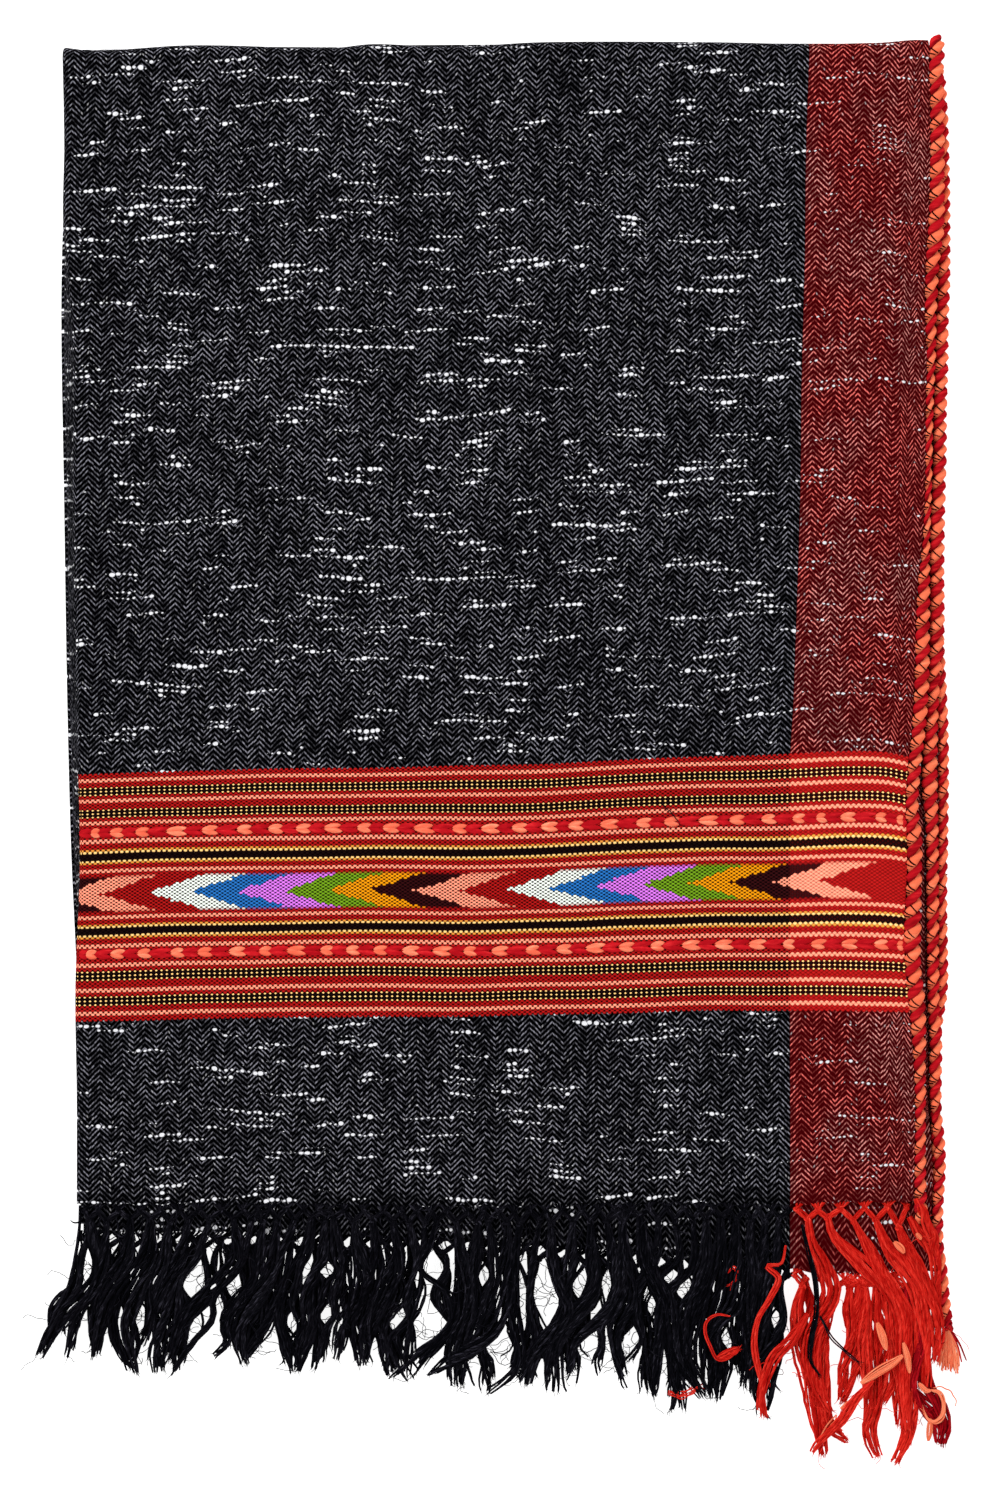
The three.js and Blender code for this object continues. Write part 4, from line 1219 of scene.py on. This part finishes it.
under_red_routes = [
    [(126.6, -224.6), (124.1, -234.6), (124.9, -249.3), (130, -264), (132.9, -278.7),
     (135.4, -295.9)],
    [(142, -224.2), (139.2, -228), (136.7, -236.2), (133.8, -251.8), (133.8, -264),
     (135, -277.4), (138.4, -284.6), (145.5, -290.4)],
    [(146.4, -225.6), (147.4, -238.8), (148.6, -251.4), (146.4, -264), (142.2, -273.2)],
    [(150, -224.6), (151, -237), (152, -250), (149.8, -262.4)],
    [(152.8, -225), (153.6, -237.1), (154.8, -251.8), (156, -266.1), (156.9, -277.4),
     (155.6, -286.2), (158.5, -297.1)],
    [(157.4, -224.6), (159, -236), (162, -249), (162.6, -262), (160, -274)],
    [(161.4, -225), (164.4, -243), (168.6, -257.7), (170.7, -272.4), (169.9, -289.2),
     (165.3, -299.2)],
    [(169.5, -225), (172.8, -247.2), (175.8, -264), (181.2, -274.5), (184.6, -282.9),
     (184.2, -291.3)],
]
# Locks that have slipped out of their knots.
corner_lock = [(-177, -190.6), (-177, -205.2), (-179.5, -218.6), (-182.9, -229.1),
               (-187.6, -237.9), (-192.5, -251.7)]
slipped_red_locks = [
    [(128.7, -236), (122, -247.2), (114.5, -254.3), (110.7, -263.1), (109.4, -272.4),
     (109.4, -279.5)],
    [(156, -264), (144.7, -277.8), (137.5, -286.2), (130.8, -295.1)],
]
# A tassel on its way down: half its width and half its thickness.
bunch = table("part wide thick", [
    (0, 0.9, 0.5), (0.07, 1.6, 0.8), (0.22, 3.2, 1.1), (0.5, 4, 1.2), (0.8, 3.4, 0.9),
    (1, 1.7, 0.5),
])
upper_drop = 2.6        # from the cloth's end to the upper knots
knot_drop = 6.6         # and to the lower ones
yarn_rest = 0.6         # the lowest that a yarn's middle lies above the table
wisps = 230             # loose curls over the knots


def scatter(n):
    """A repeatable value from nought to one for tassel number n."""
    wave = math.sin(n * 12.9898 + 4.137) * 43758.5453
    return wave - math.floor(wave)


def parted(lines, strength):
    """Lines of yarn, bent sideways round the fringe's open places."""
    lines = lines.copy()
    room = 2.1          # yarns this many half widths away are still moved
    for cx, cy, wide, high, lean in zip(*fringe_gaps.values()):
        off = (lines[..., 1] - cy) / (high / 2)
        aside = (lines[..., 0] - cx - lean * (lines[..., 1] - cy)) / (wide / 2)
        near = np.exp(-3 * off ** 2)
        weight = near.sum(-1)
        middle = (aside * near).sum(-1) / (weight + 1e-6)
        push = np.clip(1.25 * (1 - np.abs(middle) / room), 0, None) * (weight > 0.3)
        push = push * np.where(middle >= 0, 1, -1) * wide / 2 * strength
        lines[..., 0] += push[..., None] * np.exp(-0.9 * np.abs(off) ** 3)
    return lines


def overhand_knot(skein, centre, size, spin, finish=0):
    """A small knot of yarn: a line that crosses itself three times."""
    t = np.linspace(0.25, 2 * math.pi - 0.1, 19)
    x = (np.sin(t) + 2 * np.sin(2 * t)) / 3
    y = (np.cos(t) - 2 * np.cos(2 * t)) / 3
    z = -np.sin(3 * t) * 0.42
    cos, sin = math.cos(spin), math.sin(spin)
    line = np.stack([x * cos - y * sin, (x * sin + y * cos) * 1.15, z], -1) * size
    skein.add(line + centre, 0.42 * size, sides=4, finish=finish)


def strand(skein, first, last, yarns, spread, girth):
    """A few yarns side by side from one knot to the next, bowing up a little between them."""
    share = np.linspace(0, 1, 5)[:, None]
    first, last = np.asarray(first, float), np.asarray(last, float)
    way = last - first
    side = np.array([-way[1], way[0], 0]) / (np.hypot(way[0], way[1]) + 1e-6)
    for n in range(yarns):
        off = (n - (yarns - 1) / 2) / max(yarns - 1, 1) * spread
        bow = np.sin(share * math.pi)
        line = first + way * share + side * (off * (0.4 + bow * 0.6) + rng.normal(0, 0.12))
        line[:, 2] += (bow * rng.uniform(0.1, 0.5))[:, 0]
        skein.add(line, girth * (1 - 0.15 * bow[:, 0]), sides=4)


def laid(row, places):
    """Points given on the lying fringe, with each one's height above the table."""
    places = np.asarray(places, float)
    run = np.linalg.norm(np.diff(places, axis=0), axis=1).cumsum()
    part = np.concatenate([[0], run / run[-1]])
    height = np.interp(part, [0, 0.28, 0.6, 1], [
        row["level"], row["crest"], between(row["crest"], row["tip"], 0.4), row["tip"]])
    return np.column_stack([places, height])


def edge_at(row, x):
    """Where the cloth's end lies above one row of the fringe."""
    return float(along(cloth_ends, row["end"], x)) + row["back"]


def tassel_route(row_name, x, n):
    """The middle line of a black tassel: it leans the way its neighbours do, to a shared point."""
    row = fringe_rows[row_name]
    chance = scatter(row["seed"] + n)
    other = scatter(row["seed"] + n * 7 + 150)
    tip_x = x + float(along(fringe_lean, row_name, x)) + (other - 0.5) * 6
    nearest = np.abs(fringe_tips["x"] - tip_x).argmin()
    astray = abs(fringe_tips["x"][nearest] - tip_x)
    tip_x = between(tip_x, fringe_tips["x"][nearest], 0.72)
    tip_y = fringe_tips["y"][nearest] + row["short"] * (0.2 + chance) + astray * 0.5
    root = np.array([x, edge_at(row, x) - knot_drop])
    tip = np.array([tip_x, tip_y])
    bow = (chance - 0.5) * 6
    shoulder = between(root, tip, 0.3) + (bow - (tip[0] - root[0]) * 0.1, 0)
    belly = between(root, tip, 0.66) - (bow * 0.6, 0)
    return laid(row, [root, shoulder, belly, tip])


def wave(run, low, high, slow, fast):
    """A sine along a line, with random height, pace and start."""
    return rng.uniform(low, high) * np.sin(
        2 * math.pi * (run * rng.uniform(slow, fast) + rng.random()))


def wandering(start, heading, pace, rise):
    """A fibre that goes where heading, in radians, leads it."""
    moves = np.stack([np.cos(heading), np.sin(heading), rise], -1)
    return start + np.cumsum(moves * pace, axis=0)


def tassel(skein, route, yarns, hairiness, size=1.0, finish=0, shortest=0.7, strength=1.0):
    """Yarns twisted loosely along one route, ending one after the other, with stray hairs."""
    points = 20
    part = np.linspace(0, 1, points)
    middle = through(route, points)
    side = sideways(middle)
    twist = rng.choice([-1, 1]) * rng.uniform(1.5, 4.5)
    sway = wave(part, 0.3, 1.1, 0.9, 1.9)
    fork = rng.choice([0, 0, 1.2, 2.2]) * size * step(part, 0.6, 1) * (shortest < 0.8)
    lines = np.empty((yarns, points, 3))
    for n in range(yarns):
        run = part * between(shortest, 1.04, rng.random() ** 0.6)
        line = np.stack([np.interp(run, part, middle[:, axis]) for axis in range(3)], -1)
        place = math.sqrt(rng.uniform(0.05, 1))
        angle = rng.uniform(0, 2 * math.pi)
        free = step(run, 0.03, 0.3)
        curl = wave(run, 0.1, 0.7, 0.8, 2.4)
        kink = wave(run, 0.04, 0.22, 5, 9)
        aside = place * np.cos(angle + twist * run) * along(bunch, "wide", run) * size
        aside = aside + (np.interp(run, part, sway) + (curl + kink) * min(size, 1)) * free
        aside = aside + math.copysign(1, math.cos(angle)) * np.interp(run, part, fork)
        if rng.random() < 0.08 * (shortest < 0.8):
            aside = aside + rng.normal(0, 3.5) * run ** 3
        line += side * aside[:, None]
        line[:, 2] += place * np.sin(angle + twist * run) * along(bunch, "thick", run) * size
        lines[n] = line
    lines = parted(lines, strength)
    lines[..., 2] = np.maximum(lines[..., 2], yarn_rest)
    girth = rng.uniform(0.44, 0.68, (yarns, 1)) * (1 - 0.35 * step(part, 0.85, 1))
    skein.add(lines, girth, sides=4, finish=finish)
    for line in lines:
        frayed_tip(skein, line, finish)
        if rng.random() < hairiness:
            stray_hair(skein, line, finish)


def frayed_tip(skein, line, finish=0):
    """Thin fibres that spread from the end of a yarn."""
    way = line[-1] - line[-3]
    way = way / (np.linalg.norm(way) + 1e-6)
    share = np.linspace(0, 1, 4)[:, None]
    for _ in range(2):
        aside = rng.normal(0, 0.35, 3) * (1, 1, 0.25)
        length = rng.uniform(0.8, 2.6)
        fibre = line[-1] - way * 0.8 + (way + aside * share) * share * length
        fibre[:, 2] = np.maximum(fibre[:, 2], 0.3)
        skein.add(fibre, np.linspace(0.26, 0.08, 4), sides=3, finish=finish)


def stray_hair(skein, line, finish=0):
    """One fine curling fibre beside a yarn."""
    points = 12
    start = line[rng.integers(3, len(line) - 1)]
    heading = rng.uniform(-1.1, 1.1) - math.pi / 2 + np.cumsum(rng.normal(0, 0.5, points))
    pace = rng.uniform(0.5, 1.3)
    fibre = wandering(start, heading, pace, rng.normal(0, 0.12, points))
    fibre[:, 2] = np.clip(fibre[:, 2], 0.4, start[2] + 1)
    skein.add(fibre, 0.16, sides=3, finish=finish)


def crossing_hairs(skein):
    """Fine curls that bridge the open places."""
    for cx, cy, wide, high, lean in zip(*fringe_gaps.values()):
        for _ in range(4):
            off = rng.uniform(-0.35, 0.35) * high
            edge = rng.choice([-1, 1])
            start = np.array([cx + lean * off - edge * wide * 0.6, cy + off, rng.uniform(5, 9)])
            heading = np.cumsum(rng.normal(0, 0.42, 14)) + rng.uniform(-0.8, 0.8)
            pace = wide * rng.uniform(0.09, 0.13) + 0.15
            hair = wandering(start, heading, np.array([edge, 1, 1]) * pace, 0 * heading)
            skein.add(hair, rng.uniform(0.12, 0.22), sides=3)


def headed(skein, row, routes, first_x, last_x):
    """Knots at the head of every route, and yarns that join them to the cloth."""
    level = row["level"]
    heads = [route[0] for route in routes]
    places = [first_x] + [(a[0] + b[0]) / 2 for a, b in zip(heads, heads[1:])] + [last_x]
    for place in places:
        upper = np.array([place, edge_at(row, place) - upper_drop + rng.normal(0, 0.25), level + 0.1])
        overhand_knot(skein, upper, 1.2, rng.uniform(0, 6.3))
        for off in (-3.4, -1.7, 0, 1.7, 3.4):
            start_x = np.clip(place + off, first_x, last_x)
            strand(skein, (start_x, edge_at(row, start_x) + 0.6, level), upper, 1, 0, 0.5)
        for head in heads:
            if abs(head[0] - place) < tassel_pitch * 0.72:
                strand(skein, upper, head, 3, 1.5, 0.55)
    for head in heads:
        overhand_knot(skein, head, 1.35, rng.uniform(0, 6.3))


def black_routes(row_name):
    first = fringe_rows[row_name]["start"]
    count = math.ceil((black_end - first) / tassel_pitch)
    return [tassel_route(row_name, first + n * tassel_pitch, n) for n in range(count)]


black_yarn = yarn_finish("black_yarn", dye(3, 3, 6), dye(22, 21, 27), dye(66, 64, 76), 4, 0.1)
red_yarn = yarn_finish("red_yarn", dye(172, 14, 10), dye(232, 50, 38), dye(246, 84, 66), 4, 0.1)
front_row, under_row, lower_row = fringe_rows.values()

front_black = Skein()
routes = []
for _, x, places in front_black_routes:
    knot = (x, edge_at(front_row, x) - knot_drop + rng.normal(0, 0.7))
    routes.append(laid(front_row, [knot, *places]))
headed(front_black, front_row, routes, -175, 120.6)
for route, (size, _, _) in zip(routes, front_black_routes):
    tassel(front_black, route, round(3 + 12 * size), 0.5, size, strength=0.7)
tassel(front_black, laid(front_row, corner_lock), 4, 0.5, 0.3)

front_red = Skein()
routes = [laid(front_row, places) for places in front_red_routes]
headed(front_red, front_row, routes, 124, 170.3)
for route in routes:
    tassel(front_red, route, 19, 0.15, 1.0, shortest=0.84)
last_lock = laid(front_row, [(171.2, -195.5), (176.2, -203.5), (181.2, -213.2), (183.3, -222.8),
                             (184.2, -233.7)])
tassel(front_red, last_lock, 10, 0.2, 0.7, shortest=0.84)
rope_lock = laid(front_row, [(173.8, -187.5), (176.6, -194), (180.4, -203), (183, -213)])
rope_lock[:, 2] += 2.4
tassel(front_red, rope_lock, 9, 0.2, 0.55, shortest=0.8)
for places in slipped_red_locks:
    tassel(front_red, laid(front_row, places), 9, 0.3, 0.6, shortest=0.8)

for _ in range(wisps):
    start = rng.uniform((-175, -212, 9.3), (119, -191, 10.4))
    heading = rng.normal(-math.pi / 2, 0.8) + np.cumsum(rng.normal(0, 0.3, 9))
    rise = rng.normal(0, 0.08, 9)
    wisp = wandering(start, heading, rng.uniform(0.6, 1.4), rise)
    front_black.add(wisp, rng.uniform(0.2, 0.42) * np.sin(np.linspace(0.3, 2.9, 9)), sides=4)

under_black = Skein()
routes = black_routes("under")
headed(under_black, under_row, routes, -176.5, 120.9)
for route in routes:
    tassel(under_black, route, 15, 0.5)

under_red = Skein()
routes = [laid(under_row, places) for places in under_red_routes]
headed(under_red, under_row, routes, 123, 175)
for route in routes[:-1]:
    tassel(under_red, route, 19, 0.3, 1.15, shortest=0.84)
tassel(under_red, routes[-1], 28, 0.1, 1.6, shortest=0.9, finish=1)

crossing_hairs(under_black)

lower_black = Skein()
routes = black_routes("lower")
headed(lower_black, lower_row, routes, -172, 118)
for route in routes:
    tassel(lower_black, route, 10, 0.2)

lower_red = Skein()
routes = [laid(lower_row, [(x, -222), (x + 2, -240), (x + 5, -262), (x + 4, y)])
          for x, y in ((128, -268), (152, -280), (163, -284), (172, -268))]
headed(lower_red, lower_row, routes, 124, 172)
for route in routes:
    tassel(lower_red, route, 10, 0.2, 0.9, shortest=0.84)

for layer, black, red, red_finishes in (
        ("front", front_black, front_red, [red_yarn]),
        ("under", under_black, under_red, [red_yarn, crimson_yarn]),
        ("lower", lower_black, lower_red, [red_yarn])):
    for shade, skein, finishes in (("black", black, [black_yarn]), ("red", red, red_finishes)):
        piece = skein.piece(f"{layer}_fringe_{shade}", *finishes)
        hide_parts(f"fringe_{layer}_{shade}")


# ---- Tassel of the second edging ---------------------------------------------------------------
# Below the cloth the lower edging is bound off and its plies run out in a small salmon tassel
# with a few crimson yarns beside it.
edging_tips = table("x y z", [
    (184.8, -257.5, 1.2), (186.4, -260, 1.1), (188.2, -259.4, 1.6), (189.8, -260.5, 1.2),
    (191.2, -259.6, 1.5), (192.6, -258.8, 1.1),
])
crimson_tips = table("x y z", [
    (195.6, -255.6, 1.1), (196.2, -257, 1.1), (194.2, -257.6, 1.3),
])
edging_neck = np.array([188.2, -242.4, 2.9])


def edging_tassel():
    skein = Skein()
    overhand_knot(skein, edging_neck, 2.1, 0.7, finish=1)
    for x, y, z in zip(*edging_tips.values()):
        for _ in range(5):
            tip = np.array([x, y, z]) + rng.normal(0, 0.5, 3) * (1, 2, 0.3)
            middle = between(edging_neck, tip, 0.5) + (rng.normal(0.2, 0.5), 0, 0.3)
            line = through([edging_neck, middle, tip], 12)
            line[:, 2] = np.maximum(line[:, 2], yarn_rest)
            skein.add(line, np.linspace(0.75, 0.4, 12), sides=5, finish=0)
            frayed_tip(skein, line)
    for tip in zip(*crimson_tips.values()):
        middle = between(edging_neck, np.array(tip), 0.5) + (0.9, 0, 0.6)
        skein.add(through([edging_neck, middle, tip], 12), np.linspace(0.6, 0.3, 12), finish=1)
    return skein


rope_tassel = edging_tassel().piece("rope_tassel", salmon_yarn, crimson_yarn)
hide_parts("edging_tassel")


# ---- Loose yarns -------------------------------------------------------------------------------
# A few ends have worked out of their tassels: black ones among the red, red ones among the black,
# and flat salmon ends of the edging yarn. Each is given by how many yarns it has, how far they
# spread and how thick they are.
loose_yarns = {
    "black": [
        (1, 0, 0.24, [(66.4, -21.6, 11.1), (70.6, -25.2, 11.2), (73, -27.8, 11.3),
                      (75, -31, 11.1)]),
        (4, 0.8, 0.42, [(126, -198.6, 10.4), (128.8, -209, 10.8), (131.7, -222.7, 11.2),
                        (132.2, -236, 11), (130.3, -246, 10.6), (129.8, -255.6, 9.8),
                        (133.6, -262, 8.6)]),
        (2, 0.5, 0.36, [(133.6, -236.7, 10.8), (139.4, -246.8, 10.2), (150, -256.5, 9)]),
        (6, 1.2, 0.45, [(121, -215, 9.8), (117.3, -224.7, 10), (118.7, -238.2, 9.8),
                        (116.3, -246, 9), (107.6, -257.5, 8), (106.6, -271, 6),
                        (112.4, -280.6, 4.6)]),
    ],
    "red": [
        (5, 0.9, 0.42, [(119.2, -207.3, 10.4), (117.3, -215, 10.9), (111.5, -216, 11.2),
                        (116.3, -220.8, 11.4), (112.4, -229.5, 11.4), (107.6, -238.2, 11),
                        (106.2, -249.7, 10.2), (109.5, -267, 8), (111.5, -279.6, 5.6)]),
        (2, 0.35, 0.36, [(96, -236.8, 11.2), (90.6, -236.2, 11.6), (86.2, -239.4, 11.8),
                         (85.6, -244.6, 11.6), (88, -250.6, 11), (91, -255, 10.4),
                         (95.4, -254.6, 10.2), (99.6, -251.4, 10)]),
        (7, 1.6, 0.4, [(90.4, -254.8, 10), (94, -253.4, 10.2), (99.4, -250.6, 10)]),
        (5, 1.4, 0.3, [(70, -269.6, 6.4), (76, -270.8, 6.6), (83, -267, 6.6)]),
        (2, 0.4, 0.36, [(94.6, -219, 10.8), (97.6, -216.4, 11), (99, -220.6, 11),
                        (96, -224, 10.8)]),
    ],
    "salmon": [
        (2, 0.7, 0.4, [(141, -279, 7), (137, -285, 6), (133.6, -291, 4.6)]),
        (3, 0.6, 0.5, [(180.7, -268.5, 7.4), (184, -269.6, 7.4), (185.8, -273.6, 7.2),
                       (185.4, -279.4, 6.8), (182.4, -282, 6.6), (179.4, -280.8, 6.6),
                       (177.8, -278, 6.8)]),
        (1, 0, 0.3, [(181.5, -267.4, 7), (186.4, -267.6, 7), (190.6, -271.4, 6),
                     (191.4, -275.7, 5)]),
    ],
}
salmon_petals = [
    (1.7, [(157.6, -239.6, 11.4), (159.6, -245, 11.8), (161.4, -251, 11.4)]),
    (2, [(151, -265.4, 9.4), (157.7, -260.6, 10.4), (164.6, -256.4, 10.6), (168.4, -253.6, 10.4)]),
    (1.5, [(142.6, -276.4, 7.8), (147, -273.6, 8.4), (152, -271, 8.2)]),
    (1.3, [(168.6, -248, 11.2), (170.4, -254.6, 10.8), (171.4, -261, 9.6)]),
    (1.5, [(164.6, -205.6, 12), (167.6, -208.4, 12.2), (168.8, -210.4, 11.8)]),
    (1, [(174, -202, 12), (176, -204.6, 12)]),
    (1.3, [(180.4, -280.6, 6), (180.2, -285.6, 5.4), (179.8, -290.4, 4.4)]),
    (1.2, [(175.4, -265.4, 8.4), (178.4, -268.6, 8), (180.6, -268.6, 7.6)]),
]


def petal(skein, half_width, points):
    """A flattened end of thick yarn, whose strands meet at both ends."""
    count, strands = 14, 9
    share = np.linspace(0.03, 0.97, count)
    middle = through(points, count)
    side = sideways(middle)
    open_share = half_width * np.sin(share * math.pi) ** 0.6
    for place in np.linspace(-0.85, 0.85, strands):
        place += rng.normal(0, 0.07)
        line = middle + side * (open_share * place)[:, None]
        line[:, 2] += (1 - place * place) * 0.2 * half_width + rng.normal(0, 0.1)
        skein.add(line, 0.13 * half_width + 0.05, 0.22)


def loose_lock(skein, yarns, spread, girth, points):
    """A few loose yarns side by side along one route."""
    count = 10 + 4 * len(points)
    share = np.linspace(0, 1, count)
    middle = through(points, count)
    side = sideways(middle)
    open_share = np.sin(share * math.pi * 0.85 + 0.2) ** 0.7
    for n in range(yarns):
        off = (n - (yarns - 1) / 2) / max(yarns - 1, 1) * 2 * spread + rng.normal(0, 0.1)
        curl = wave(share, 0.05, 0.3, 1, 3)
        line = middle + side * (off * open_share + curl)[:, None]
        line[:, 2] += rng.normal(0, 0.15)
        taper = np.sin(np.linspace(0.15, math.pi - 0.15, count)) ** 0.3
        skein.add(line, girth * taper, sides=5)
        if yarns > 1:
            frayed_tip(skein, line)


for shade, finish, slot in (("black", black_yarn, "fringe_black"), ("red", red_yarn, "fringe_red"),
                            ("salmon", salmon_yarn, "edging")):
    skein = Skein()
    for lock in loose_yarns[shade]:
        loose_lock(skein, *lock)
    if shade == "salmon":
        for half_width, points in salmon_petals:
            petal(skein, half_width, points)
    skein.piece("loose_yarn_" + shade, finish)
